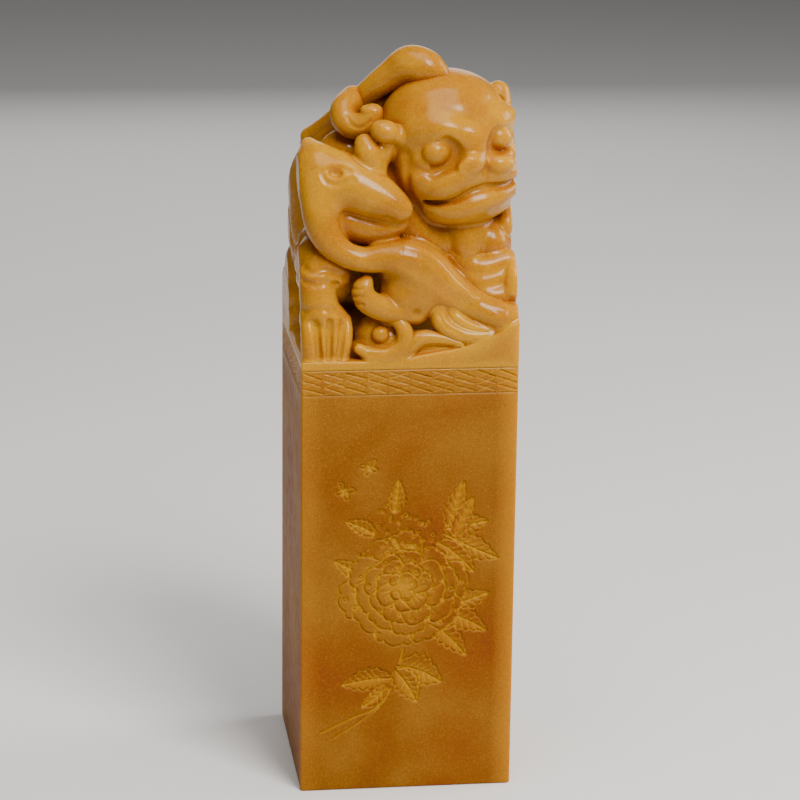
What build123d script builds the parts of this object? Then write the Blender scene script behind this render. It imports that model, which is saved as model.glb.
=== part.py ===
from build123d import *

import os

os.makedirs("parts", exist_ok=True)

# Square column of a hand seal with a crouching lion and its cub carved on top, all one stone.
# +Z is up, the front face looks towards -Y, and the origin is the middle of the stamping face.

# Column
side = 33.0
face_relief = 0.8
shaft_top = 62.9
band_top = 68.6
arris_radius = 0.35

# Knob: everything above the band
knob_height = 46.4

# Stamping face
frame_width = 1.6
fret_line = 1.4
fret_gap = 1.6
face_margin = 0.5
face_plate = 1.2

# Engraved band
groove_width = 0.34
groove_depth = 0.3
line_low = 0.75
line_high = 1.1
lozenge_length = 4.7
lozenge_rows = 3

# Rocky ground
ledge_height = 6.2
ledge_lip = 0.5
ledge_depth = 11.5
mound_rise = 4.5
mound_width = 34.0

# Radii of the rounded masses
eye_radius = 1.95
cheek_radius = 4.5
skull_radius = 10.2
nape_radius = 8.0
torso_radius = 12.0
rump_radius = 8.5
shoulders_radius = 10.5
chest_radius = 6.6
near_shoulder_radius = 5.6
thigh_radius = 6.4
forepaw_radius = 2.4
far_haunch_radius = 8.0
far_paw_radius = 3.5
cub_haunch_radius = 4.6
pearl_radius = 1.45

# Greatest thickness of each long form, and the bend of each hooked one
lip_thick = 5.0
lip_bend = 5.2
jaw_thick = 5.2
jaw_bend = 4.6
nose_thick = 4.0
bridge_thick = 3.4
brow_thick = 2.4
ear_thick = 3.6
mane_thick = 5.6
tail_thick = 6.0
tuft_thick = 3.8
tuft_bend = 2.5
cub_head_thick = 9.6
horn_thick = 4.0
horn_stem_thick = 2.2
cub_neck_thick = 4.2
cub_body_thick = 7.8
cub_leg_thick = 6.0
cub_paw_thick = 3.6
cub_paw_bend = 3.1
cub_tail_thick = 3.2
shin_thick = 5.8
forearm_thick = 4.6
fold_thick = 3.8
far_foreleg_thick = 6.4
cloud_curl_thick = 2.8
cloud_curl_bend = 3.0
cloud_wave_thick = 2.6

# Hind paw at the front corner
paw_width = 7.0
paw_depth = 5.6
paw_height = 6.8
paw_round = 1.6
toe_count = 4
toe_groove = 0.6
toe_groove_depth = 0.7

# Head: turned to the right of the front and tipped, in degrees
head_turn = 20
head_tip = 5
head_share = (0.43, -0.33, 0.67)

# Places of carved forms, as shares of half the side (x, y) and of the knob's height (z)
pearl_share = (-0.27, -0.86, 0.085)
cloud_curl_share = (-0.24, -0.89, 0.075)
cloud_curl_arc = (-145, 70)
cloud_wave_share = (
    (0.47, -0.93, 0.06),
    (0.25, -0.91, 0.08),
    (0.07, -0.90, 0.07),
    (-0.04, -0.92, 0.04),
    (-0.13, -0.93, 0.0),
)
cloud_wave_taper_share = (0.4, 0.8, 1.0, 1.0, 0.8)
torso_share = (-0.24, 0.27, 0.35)
rump_share = (-0.50, 0.28, 0.50)
shoulders_share = (0.33, 0.27, 0.40)
chest_share = (0.55, -0.32, 0.38)
near_shoulder_share = (0.76, -0.21, 0.33)
thigh_share = (-0.67, -0.36, 0.29)
shin_share = ((-0.82, -0.60, 0.32), (-0.82, -0.74, 0.23), (-0.80, -0.80, 0.14), (-0.77, -0.82, 0.08))
shin_taper_share = (0.9, 0.95, 1.0, 0.9)
hind_paw_share = (-0.77, -0.83, 0.015)
forearm_share = ((0.40, -0.60, 0.22), (0.60, -0.66, 0.215), (0.80, -0.67, 0.205), (1.05, -0.63, 0.20))
forearm_taper_share = (0.8, 1.0, 1.0, 1.0)
fold_share = ((0.40, -0.52, 0.27), (0.60, -0.58, 0.275), (0.80, -0.59, 0.275), (1.0, -0.52, 0.275))
fold_taper_share = (0.7, 1.0, 1.0, 0.9)
forepaw_share = (0.93, -0.76, 0.24)
far_haunch_share = (-0.67, 0.62, 0.065)
far_hind_paw_share = (-0.24, 0.78, 0.03)
far_foreleg_share = ((0.62, 0.46, 0.34), (0.76, 0.60, 0.24), (0.78, 0.66, 0.14), (0.76, 0.70, 0.05))
far_foreleg_taper_share = (1.0, 0.95, 0.85, 0.85)
far_forepaw_share = (0.74, 0.76, 0.03)
ear_share = ((0.96, -0.10, 0.74), (0.91, -0.12, 0.80), (0.87, -0.14, 0.845))
ear_taper_share = (0.9, 1.0, 0.5)
mane_share = (
    (0.92, -0.16, 0.36),
    (0.90, 0.04, 0.47),
    (0.84, 0.20, 0.58),
    (0.68, 0.30, 0.68),
    (0.46, 0.34, 0.76),
    (0.18, 0.30, 0.79),
)
mane_taper_share = (0.8, 1.0, 1.0, 1.0, 1.0, 0.8)
tail_share = (
    (-0.74, 0.34, 0.64),
    (-0.55, 0.06, 0.74),
    (-0.31, -0.15, 0.83),
    (-0.07, -0.24, 0.90),
    (0.06, -0.28, 0.935),
    (0.18, -0.34, 0.93),
    (0.27, -0.40, 0.90),
)
tail_taper_share = (0.62, 0.6, 0.6, 0.8, 1.0, 0.97, 0.7)
tuft_share = (-0.44, -0.36, 0.765)
tuft_arc = (120, 375)
cub_head_share = (
    (-0.78, -0.57, 0.57),
    (-0.55, -0.63, 0.54),
    (-0.32, -0.70, 0.52),
    (-0.15, -0.80, 0.50),
    (-0.09, -0.84, 0.48),
)
cub_head_taper_share = (0.88, 1.0, 0.85, 0.55, 0.38)
horn_low_share = ((-0.31, -0.67, 0.64), (-0.35, -0.69, 0.67), (-0.37, -0.69, 0.70))
horn_high_share = ((-0.24, -0.72, 0.745), (-0.18, -0.72, 0.74), (-0.11, -0.70, 0.725))
horn_taper_share = (0.8, 1.0, 0.8)
horn_stem_share = ((-0.31, -0.64, 0.60), (-0.24, -0.69, 0.68), (-0.14, -0.65, 0.71), (-0.03, -0.58, 0.69))
horn_stem_taper_share = (1.0, 0.9, 0.8, 0.6)
cub_neck_share = (
    (-0.89, -0.47, 0.66),
    (-0.88, -0.58, 0.56),
    (-0.86, -0.70, 0.46),
    (-0.80, -0.78, 0.39),
    (-0.70, -0.82, 0.35),
    (-0.56, -0.84, 0.33),
    (-0.34, -0.85, 0.33),
)
cub_neck_taper_share = (0.6, 0.95, 0.97, 1.0, 0.97, 0.95, 1.05)
cub_body_share = ((-0.36, -0.85, 0.33), (-0.13, -0.80, 0.33), (0.05, -0.76, 0.30), (0.24, -0.76, 0.24))
cub_body_taper_share = (0.56, 0.75, 1.0, 0.97)
cub_haunch_share = (0.02, -0.74, 0.20)
cub_leg_share = (
    (0.24, -0.77, 0.24),
    (0.43, -0.80, 0.20),
    (0.63, -0.85, 0.16),
    (0.83, -0.86, 0.14),
    (1.0, -0.82, 0.13),
)
cub_leg_taper_share = (1.2, 1.0, 0.72, 0.7, 0.73)
cub_paw_share = (-0.27, -0.89, 0.222)
cub_paw_arc = (110, 290)
cub_tail_share = ((0.26, -0.80, 0.18), (0.31, -0.88, 0.12), (0.46, -0.90, 0.085), (0.72, -0.92, 0.08))
cub_tail_taper_share = (0.9, 1.0, 0.95, 0.5)

# Places on the head, as shares of the skull's radius, in the head's own frame
skull_at_share = (-0.04, 0.08, 0.18)
nape_at_share = (0.0, 0.35, -0.20)
cheek_at_share = (0.60, -0.29, -0.35)
lip_at_share = (0.0, -0.35, -0.38)
nose_at_share = ((-0.35, -0.82, -0.10), (0.0, -0.88, -0.08), (0.35, -0.82, -0.10))
nose_taper_share = (0.88, 1.0, 0.88)
bridge_at_share = ((0.0, -0.84, 0.07), (0.0, -0.82, 0.20), (0.0, -0.80, 0.34))
bridge_taper_share = (0.9, 1.0, 0.9)
jaw_at_share = (0.0, -0.33, -0.71)
jaw_arc = (170, 370)
brow_at_share = ((0.12, -0.85, 0.30), (0.31, -0.85, 0.39), (0.57, -0.74, 0.39), (0.79, -0.51, 0.24))
brow_taper_share = (0.75, 0.92, 1.0, 0.67)
eye_at_share = (0.49, -0.74, 0.13)

half = side / 2
total_height = band_top + knob_height
end_share = 0.7
tip_share = 0.12
cap_share = 0.96
pieces = {}
placed = []


def block(low, high):
    """The column's square prism between two heights."""
    return Pos(0, 0, (low + high) / 2) * Box(side, side, high - low)


def eased(solid):
    """Solid with the column's four arrises eased."""
    return fillet(solid.edges().filter_by(Axis.Z), arris_radius)


def spot(share):
    """Point in the knob from its shares."""
    return Vector(share[0] * half, share[1] * half, band_top + share[2] * knob_height)


def head_spot(share, mirror=1):
    """Point in the head's own frame from its shares, mirrored for a form on the other side."""
    return Vector(mirror * share[0], share[1], share[2]) * skull_radius


def ball(centre, radius):
    """Round mass."""
    return Pos(centre) * Sphere(radius)


def level_ball(centre, radius):
    """Round mass with its poles along X, where no cut passes through them."""
    return Pos(centre) * Rot(0, 90, 0) * Sphere(radius)


def ring_at(point, along, radius):
    """Circle across a limb."""
    return Plane(origin=point, z_dir=along) * Circle(radius)


def limb(points, thick, taper_share):
    """Tapered round limb: a loft through circles along its points, drawn in at both ends."""
    radii = [thick / 2 * s for s in taper_share]
    ways = [(b - a).normalized() for a, b in zip(points, points[1:])]
    along = [ways[0]] + [(a + b).normalized() for a, b in zip(ways, ways[1:])] + [ways[-1]]
    start, end = points[0], points[-1]
    rings = [ring_at(start - along[0] * radii[0] * end_share, along[0], radii[0] * tip_share)]
    rings += [ring_at(p, d, r) for p, d, r in zip(points, along, radii)]
    rings.append(ring_at(end + along[-1] * radii[-1] * end_share, along[-1], radii[-1] * tip_share))
    return loft(rings)


def hook(centre, bend, thick, arc):
    """Part of a torus that faces the front, a ball on each end; arc in degrees from +X to +Z."""
    first, last = arc
    section = Plane.XY * Pos(bend, 0) * Circle(thick / 2)
    body = revolve(section, Axis.Y, last - first)
    cap = Sphere(thick / 2 * cap_share)
    body += Pos(bend, 0, 0) * cap
    body += Rot(0, last - first, 0) * Pos(bend, 0, 0) * cap
    return Pos(centre) * Rot(0, -last, 0) * body


def bow(centre, bend, thick, arc):
    """A hook laid level, its arc counted from +X towards +Y."""
    return Pos(centre) * Rot(-90, 0, 0) * hook(Vector(0, 0, 0), bend, thick, arc)


def main_solid(shape):
    """The largest solid of a cut, without its chips."""
    return max(shape.solids(), key=lambda s: s.volume)


def near(one, two):
    """Whether two boxes meet."""
    low = all(p <= q for p, q in zip(tuple(one.min), tuple(two.max)))
    return low and all(p >= q for p, q in zip(tuple(one.max), tuple(two.min)))


def carve(name, *shapes):
    """Keep forms of the knob inside the block's planes, cut back to what is already there."""
    kept = []
    for shape in shapes:
        form = main_solid(shape & block(band_top, total_height))
        room = form.bounding_box()
        for other, box in placed:
            if near(room, box):
                form = main_solid(form - other)
        kept.append(form)
    placed.extend((form, form.bounding_box()) for form in kept)
    pieces[name] = kept[0] if len(kept) == 1 else Compound(children=kept)


def stamping_face():
    """Plate at the column's end, with a raised frame and a squared spiral under it."""
    outer = side - 2 * face_margin
    inner = outer - 2 * frame_width
    lines = Rectangle(outer, outer) - Rectangle(inner, inner)
    step = fret_line + fret_gap
    runs = 2 * int((inner / 2 - fret_gap) // step)
    at = Vector(0, 0)
    for run in range(1, runs + 1):
        for turn in (0, 1):
            along = Vector(step * run, 0).rotate(Axis.Z, 180 * run + 90 * turn)
            bar = Rectangle(step * run + fret_line, fret_line)
            lines += Pos(at + along / 2) * Rot(0, 0, 90 * turn) * bar
            at += along
    return eased(block(face_relief, face_relief + face_plate)) + extrude(lines, face_relief)


def band():
    """Top of the column, with two engraved lines and a lattice of lozenges on each side."""
    low = shaft_top + line_low
    high = band_top - line_high
    bar = Box(side, groove_depth, groove_width)
    cuts = [Pos(0, -half + groove_depth / 2, z) * bar for z in (low, high)]
    rise = (high - low) / lozenge_rows
    count = int(side // lozenge_length)
    first = -count * lozenge_length / 2
    stroke = Box((lozenge_length**2 + rise**2) ** 0.5, groove_depth, groove_width)
    lean = Vector(lozenge_length, rise).get_angle(Vector(1, 0))
    for row in range(lozenge_rows):
        for k in range(count):
            x = first + (k + 0.5) * lozenge_length
            z = low + (row + 0.5) * rise
            for way in (-1, 1):
                cuts.append(Pos(x, -half + groove_depth / 2, z) * Rot(0, way * lean, 0) * stroke)
    front = Compound(children=cuts)
    body = eased(block(shaft_top, band_top))
    for quarter in range(4):
        body -= Rot(0, 0, 90 * quarter) * front
    return body


def head_form(shape):
    """Place a form of the head's own frame."""
    return Pos(spot(head_share)) * Rot(0, 0, head_turn) * Rot(0, -head_tip, 0) * shape


def head_pair(name, make):
    """A right and a left form of the head."""
    carve(name, *(head_form(make(mirror)) for mirror in (-1, 1)))


# Head, from its small forms to its large ones
head_pair("eyes", lambda m: ball(head_spot(eye_at_share, m), eye_radius))
head_pair("brows", lambda m: limb([head_spot(s, m) for s in brow_at_share], brow_thick, brow_taper_share))
carve("nose", head_form(limb([head_spot(s) for s in nose_at_share], nose_thick, nose_taper_share)))
carve("nose_bridge", head_form(limb([head_spot(s) for s in bridge_at_share], bridge_thick, bridge_taper_share)))
carve("muzzle", head_form(bow(head_spot(lip_at_share), lip_bend, lip_thick, jaw_arc)))
carve("lower_jaw", head_form(bow(head_spot(jaw_at_share), jaw_bend, jaw_thick, jaw_arc)))
carve("ear", limb([spot(s) for s in ear_share], ear_thick, ear_taper_share))
carve("lion_tail", limb([spot(s) for s in tail_share], tail_thick, tail_taper_share))
carve("tail_tuft", hook(spot(tuft_share), tuft_bend, tuft_thick, tuft_arc))

# Cub
carve("cub_head", limb([spot(s) for s in cub_head_share], cub_head_thick, cub_head_taper_share))
carve(
    "cub_horns",
    limb([spot(s) for s in horn_low_share], horn_thick, horn_taper_share)
    + limb([spot(s) for s in horn_high_share], horn_thick, horn_taper_share)
    + limb([spot(s) for s in horn_stem_share], horn_stem_thick, horn_stem_taper_share),
)
carve("cub_neck", limb([spot(s) for s in cub_neck_share], cub_neck_thick, cub_neck_taper_share))
carve("cub_forepaw", hook(spot(cub_paw_share), cub_paw_bend, cub_paw_thick, cub_paw_arc))
carve("cub_tail", limb([spot(s) for s in cub_tail_share], cub_tail_thick, cub_tail_taper_share))
carve("cub_hind_leg", limb([spot(s) for s in cub_leg_share], cub_leg_thick, cub_leg_taper_share))
carve(
    "cub_body",
    limb([spot(s) for s in cub_body_share], cub_body_thick, cub_body_taper_share)
    + ball(spot(cub_haunch_share), cub_haunch_radius),
)

# Rest of the head
head_pair("lion_cheeks", lambda m: ball(head_spot(cheek_at_share, m), cheek_radius))
skull = ball(head_spot(skull_at_share), skull_radius) + ball(head_spot(nape_at_share), nape_radius)
carve("lion_head", head_form(skull))
carve("mane", limb([spot(s) for s in mane_share], mane_thick, mane_taper_share))

# Legs
paw = Pos(spot(hind_paw_share) + Vector(0, 0, paw_height / 2)) * Box(paw_width, paw_depth, paw_height)
paw = fillet(paw.edges().filter_by(Axis.Z) + paw.faces().sort_by(Axis.Z)[-1].edges(), paw_round)
for toe in range(1, toe_count):
    across = toe * paw_width / toe_count - paw_width / 2
    at = spot(hind_paw_share) + Vector(across, -paw_depth / 2, paw_height / 3)
    paw -= Pos(at) * Box(toe_groove, 2 * toe_groove_depth, paw_height)
carve("near_hind_paw", paw)
carve("near_shin", limb([spot(s) for s in shin_share], shin_thick, shin_taper_share))
carve("near_forepaw", level_ball(spot(forepaw_share), forepaw_radius))
carve(
    "near_forearm",
    limb([spot(s) for s in forearm_share], forearm_thick, forearm_taper_share)
    + limb([spot(s) for s in fold_share], fold_thick, fold_taper_share),
)
carve("near_thigh", level_ball(spot(thigh_share), thigh_radius))
carve("far_forepaw", ball(spot(far_forepaw_share), far_paw_radius))
carve("far_hind_paw", ball(spot(far_hind_paw_share), far_paw_radius))
carve("far_foreleg", limb([spot(s) for s in far_foreleg_share], far_foreleg_thick, far_foreleg_taper_share))
carve("far_haunch", ball(spot(far_haunch_share), far_haunch_radius))

# Body
carve("lion_chest", ball(spot(chest_share), chest_radius))
carve("near_shoulder", ball(spot(near_shoulder_share), near_shoulder_radius))
carve("lion_shoulders", ball(spot(shoulders_share), shoulders_radius))
carve("lion_rump", ball(spot(rump_share), rump_radius))
carve("lion_torso", level_ball(spot(torso_share), torso_radius))

# Ground
carve("pearl", ball(spot(pearl_share), pearl_radius))
carve("cloud_curl", hook(spot(cloud_curl_share), cloud_curl_bend, cloud_curl_thick, cloud_curl_arc))
carve("cloud_wave", limb([spot(s) for s in cloud_wave_share], cloud_wave_thick, cloud_wave_taper_share))
lip = band_top + ledge_lip
ledge_top = band_top + ledge_height
slope = ThreePointArc((0, lip), (half / 2, lip + (ledge_top - lip) / 4), (half, ledge_top))
rest = Polyline((half, ledge_top), (half, band_top), (-half, band_top), (-half, lip), (0, lip))
ledge = Pos(0, -half + ledge_depth, 0) * extrude(make_face(Plane.XZ * Curve([slope, rest])), ledge_depth)
mound_radius = ((mound_width / 2) ** 2 + mound_rise**2) / (2 * mound_rise)
mound = ball(Vector(0, 0, band_top + mound_rise - mound_radius), mound_radius)
carve("rock_base", ledge + (block(band_top, band_top + mound_rise) & mound))

# Column
pieces["lattice_band"] = band()
pieces["shaft_block"] = eased(block(face_relief + face_plate, shaft_top))
pieces["seal_face"] = stamping_face()

for name, piece in pieces.items():
    export_step(piece, f"parts/{name}.step")
print(len(pieces), "nodes")
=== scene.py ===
"""Looks of a square stone hand seal: an engraved column with a crouching lion and its cub on top."""

import bpy
import numpy as np
from mathutils import Matrix, Vector


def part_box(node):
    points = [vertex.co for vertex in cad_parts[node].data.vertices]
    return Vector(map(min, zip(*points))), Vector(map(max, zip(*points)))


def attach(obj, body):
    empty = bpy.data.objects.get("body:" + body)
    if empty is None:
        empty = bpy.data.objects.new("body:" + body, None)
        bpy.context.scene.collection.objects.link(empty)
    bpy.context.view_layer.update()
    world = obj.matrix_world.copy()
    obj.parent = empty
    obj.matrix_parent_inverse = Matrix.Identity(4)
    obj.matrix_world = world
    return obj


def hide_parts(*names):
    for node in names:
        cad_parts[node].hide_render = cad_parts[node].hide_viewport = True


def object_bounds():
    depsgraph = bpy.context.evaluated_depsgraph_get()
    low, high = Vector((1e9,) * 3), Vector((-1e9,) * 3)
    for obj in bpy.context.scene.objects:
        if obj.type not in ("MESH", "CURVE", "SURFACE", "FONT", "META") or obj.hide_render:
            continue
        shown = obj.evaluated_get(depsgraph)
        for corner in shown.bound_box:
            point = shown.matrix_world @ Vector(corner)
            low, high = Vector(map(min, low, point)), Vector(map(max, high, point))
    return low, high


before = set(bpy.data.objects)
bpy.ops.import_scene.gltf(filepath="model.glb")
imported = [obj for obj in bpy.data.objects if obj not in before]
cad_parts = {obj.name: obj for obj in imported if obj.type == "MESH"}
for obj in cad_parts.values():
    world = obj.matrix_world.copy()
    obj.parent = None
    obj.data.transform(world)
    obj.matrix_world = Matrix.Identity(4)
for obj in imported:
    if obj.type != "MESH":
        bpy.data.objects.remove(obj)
cad_low, cad_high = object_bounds()

# Sizes are in millimetres and become metres when a mesh is made. The frame gives half a side of the
# column, and the heights of its foot, its band and the whole stone.
MM = 0.001
HALF = round(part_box("shaft_block")[1].x / MM, 3)
FOOT_TOP = round(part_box("shaft_block")[0].z / MM, 3)
BAND_TOP = round(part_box("lattice_band")[1].z / MM, 3)
TOP = round(cad_high.z / MM, 3)
# Radius of the eased edges, width and relief of the frame on the stamping face, and the heights of
# the level lines under and over the band
ARRIS = 0.35
FRAME_WIDTH = 2.1
FACE_RELIEF = 0.8
LINE_LOW = 63.65
LINE_HIGH = 67.5
# How far the blocks of the knob reach to each side, a distance that counts as far from the stone,
# the step either way that a slope is taken over, and a number to keep a division from zero
EDGE = HALF + 0.7
FAR = 6.0
PROBE = 0.3
TINY = 1e-9


# Carving in fields: a signed distance to the stone's surface on a grid, below zero inside


def soft_min(a, b, blend):
    """The smaller of two distances, less a quarter of the blend width times the square of how close
    they are to each other, which fills the crease between them."""
    if blend <= 0:
        return np.minimum(a, b)
    near = np.clip(blend - np.abs(a - b), 0, None) / blend
    return np.minimum(a, b) - near * near * blend * 0.25


def from_span(points, a, b):
    """Distance of points from the straight span between two places, and the share along it: the foot
    of each point's perpendicular, held between the ends."""
    span = b - a
    local = points - a
    share = np.clip(local @ span / max(span @ span, TINY), 0, 1)
    return np.sqrt(((local - share[..., None] * span) ** 2).sum(-1)), share


def smooth(points, pieces=6):
    """A smooth line through rows of numbers of any width: each span is the cubic that leaves and
    enters a point along the line between that point's neighbours."""
    p = np.array(points, float)
    p = np.vstack([2 * p[0] - p[1], p, 2 * p[-1] - p[-2]])
    t = np.linspace(0, 1, pieces, endpoint=False)[:, None]
    out = []
    for i in range(1, len(p) - 2):
        a, b, c, d = p[i - 1], p[i], p[i + 1], p[i + 2]
        bend = 2 * a - 5 * b + 4 * c - d
        out.append(0.5 * (2 * b + (c - a) * t + bend * t**2 + (3 * b - a - 3 * c + d) * t**3))
    return np.vstack(out + [p[-2][None]])


class Clay:
    """A block of field values at the points of a grid, which forms are added to and cut from."""

    def __init__(self, low, high, step):
        """A block between two corners, with one step along all axes, far from any form."""
        self.low = np.array(low, float)
        self.step = step
        self.count = np.ceil((np.array(high) - self.low) / step).astype(int) + 1
        self.high = self.low + step * (self.count - 1)
        self.value = np.full(self.count, FAR, np.float32)
        self.lines = [self.low[i] + step * np.arange(self.count[i]) for i in range(3)]
        self.limit = -FAR

    def window(self, low, high):
        """Slices of the grid between two corners, or None."""
        parts = []
        for i in range(3):
            first = max(0, int(np.floor((low[i] - self.low[i]) / self.step)))
            last = min(self.count[i], int(np.ceil((high[i] - self.low[i]) / self.step)) + 1)
            if last <= first:
                return None
            parts.append(slice(first, last))
        return tuple(parts)

    def everywhere(self):
        """Slices of the whole grid."""
        return self.window(self.low, self.high)

    def points(self, part):
        """Grid points of a window."""
        axes = [self.lines[i][part[i]] for i in range(3)]
        return np.stack(np.meshgrid(*axes, indexing="ij"), -1)

    def near_form(self, form, blend):
        """Window round a form, and the form's distances in it."""
        distance, low, high = form
        part = self.window(np.array(low) - blend - 1, np.array(high) + blend + 1)
        return part, distance(self.points(part)).astype(np.float32) if part else None

    def add(self, form, blend):
        """Joins a form to the block: the soft smaller of the two distances."""
        part, found = self.near_form(form, blend)
        if part:
            self.value[part] = soft_min(self.value[part], found, blend)

    def cut(self, form, blend):
        """Takes a form away: the soft larger of the block's distance and the form's turned round."""
        part, found = self.near_form(form, blend)
        if part:
            self.value[part] = -soft_min(-self.value[part], found, blend)

    def near_path(self, path, radii, margin):
        """Distance to a path of straight spans, less the radius that changes evenly along each span.
        Each span looks only at the part of the grid round itself."""
        part = self.window(path.min(0) - radii.max() - margin, path.max(0) + radii.max() + margin)
        if not part:
            return None, None
        start = [piece.start for piece in part]
        away = np.full([piece.stop - piece.start for piece in part], FAR, np.float32)
        for i in range(len(path) - 1):
            a, b = path[i], path[i + 1]
            wide = max(radii[i], radii[i + 1]) + margin
            spot = self.window(np.minimum(a, b) - wide, np.maximum(a, b) + wide)
            if spot:
                found, share = from_span(self.points(spot), a, b)
                found -= radii[i] * (1 - share) + radii[i + 1] * share
                local = tuple(slice(s.start - o, s.stop - o) for s, o in zip(spot, start))
                away[local] = np.minimum(away[local], found)
        return part, away

    def limb(self, rows, blend):
        """Joins a tapered limb along a smooth line; a row is a place on the line and the radius there."""
        line = smooth(rows, 5)
        part, away = self.near_path(line[:, :3], line[:, 3], blend + 1)
        if part:
            self.value[part] = soft_min(self.value[part], away, blend)

    def press(self, path, width, depth):
        """Presses a line in along a path of straight spans: the depth times a bell curve of the
        distance from the path over the width. A depth below zero raises a ridge."""
        path = np.array(path, float)
        part, away = self.near_path(path, np.zeros(len(path)), 3 * width)
        if part:
            self.value[part] += (depth * np.exp(-((away / width) ** 2))).astype(np.float32)

    def groove(self, path, width, depth):
        """Presses a line in along a smooth path through the places given."""
        self.press(smooth(path, 5), width, depth)

    def crease(self, path, width, depth):
        """Presses a line in along a smooth path that is moved onto the surface first."""
        self.press(self.settle(smooth(path, 4)), width, depth)

    def outward(self, places, outside):
        """Unit direction in which the field grows: its differences over the probe along each axis."""
        slope = [self.at(places + s, outside) - self.at(places - s, outside) for s in np.eye(3) * PROBE]
        slope = np.stack(slope, -1)
        return slope / np.maximum(np.linalg.norm(slope, axis=1, keepdims=True), TINY)

    def settle(self, path):
        """Moves places onto the surface: eight moves against the slope, each by the field's value up to
        a longest move."""
        path = np.array(path, float)
        longest = 1.5
        for _ in range(8):
            path = path - self.outward(path, FAR) * np.clip(self.at(path, 0), -longest, longest)[:, None]
        return path

    def fill(self, other, blend):
        """Fills the crease where this block meets another one, as a carver leaves it: the soft
        smaller of the two distances, where they differ by less than the blend."""
        part = self.window(other.low, other.high)
        if part:
            mine = self.value[part]
            found = other.at(self.points(part), FAR).astype(np.float32)
            close = (np.abs(mine - found) < blend) & (mine < FAR - 1) & (found < FAR - 1)
            self.value[part] = np.where(close, soft_min(mine, found, blend), mine)
            self.value = np.maximum(self.value, self.limit)

    def at(self, points, outside):
        """Field values between the grid points: the eight corners of the cell, each weighted by how
        close it is along every axis."""
        place = (points - self.low) / self.step
        cell = np.floor(place).astype(int)
        held = np.all((cell >= 0) & (cell < self.count - 1), -1)
        cell = np.clip(cell, 0, self.count - 2)
        share = place - cell
        total = 0
        for corner in np.ndindex(2, 2, 2):
            weight = 1
            for axis in range(3):
                weight = weight * (share[..., axis] if corner[axis] else 1 - share[..., axis])
            spot = cell + np.array(corner)
            total = total + weight * self.value[spot[..., 0], spot[..., 1], spot[..., 2]]
        return np.where(held, total, outside)


def turn(yaw=0, pitch=0, roll=0):
    """Rotation about Z, then X, then Y of the turned form, in degrees: the product of the three."""
    y, p, r = np.radians([yaw, pitch, roll])
    about_z = np.array([[np.cos(y), -np.sin(y), 0], [np.sin(y), np.cos(y), 0], [0, 0, 1]])
    about_x = np.array([[1, 0, 0], [0, np.cos(p), -np.sin(p)], [0, np.sin(p), np.cos(p)]])
    about_y = np.array([[np.cos(r), 0, np.sin(r)], [0, 1, 0], [-np.sin(r), 0, np.cos(r)]])
    return about_z @ about_x @ about_y


def ball(centre, radii, facing=None):
    """An egg-shaped mass. The distance is n (n - 1) / g, where n is the length of the place over the
    radii, and g the length of the place over the squared radii."""
    centre = np.array(centre, float)
    radii = np.array(radii, float) * np.ones(3)
    facing = np.eye(3) if facing is None else facing

    def distance(points):
        """Distance of points from the egg."""
        local = (points - centre) @ facing
        near = np.sqrt(((local / radii) ** 2).sum(-1))
        slope = np.sqrt(((local / radii**2) ** 2).sum(-1))
        return np.where(slope > TINY, near * (near - 1) / np.maximum(slope, TINY), -radii.min())

    reach = np.sqrt(((facing * radii) ** 2).sum(1))
    return distance, centre - reach, centre + reach


def slab(centre, half, rounding):
    """A block with rounded edges: the distance to a block smaller by the rounding, less the rounding."""
    centre = np.array(centre, float)
    half = np.array(half, float)

    def distance(points):
        """Distance of points from the block."""
        local = np.abs(points - centre) - (half - rounding)
        outside = np.sqrt((np.maximum(local, 0) ** 2).sum(-1))
        return outside + np.minimum(local.max(-1), 0) - rounding

    return distance, centre - half, centre + half


def spiral(centre, across, upward, radius, turns, start):
    """Path of a spiral that winds in to its centre, in the plane of two directions: the radius
    shrinks evenly with the angle, with twelve places to a turn."""
    centre, across, upward = (np.array(given, float) for given in (centre, across, upward))
    t = np.linspace(0, 1, int(12 * turns) + 1)[:, None]
    angle = start + 2 * np.pi * turns * t
    reach = radius * (1 - 0.85 * t)
    return centre + reach * (np.cos(angle) * across + np.sin(angle) * upward)


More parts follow.
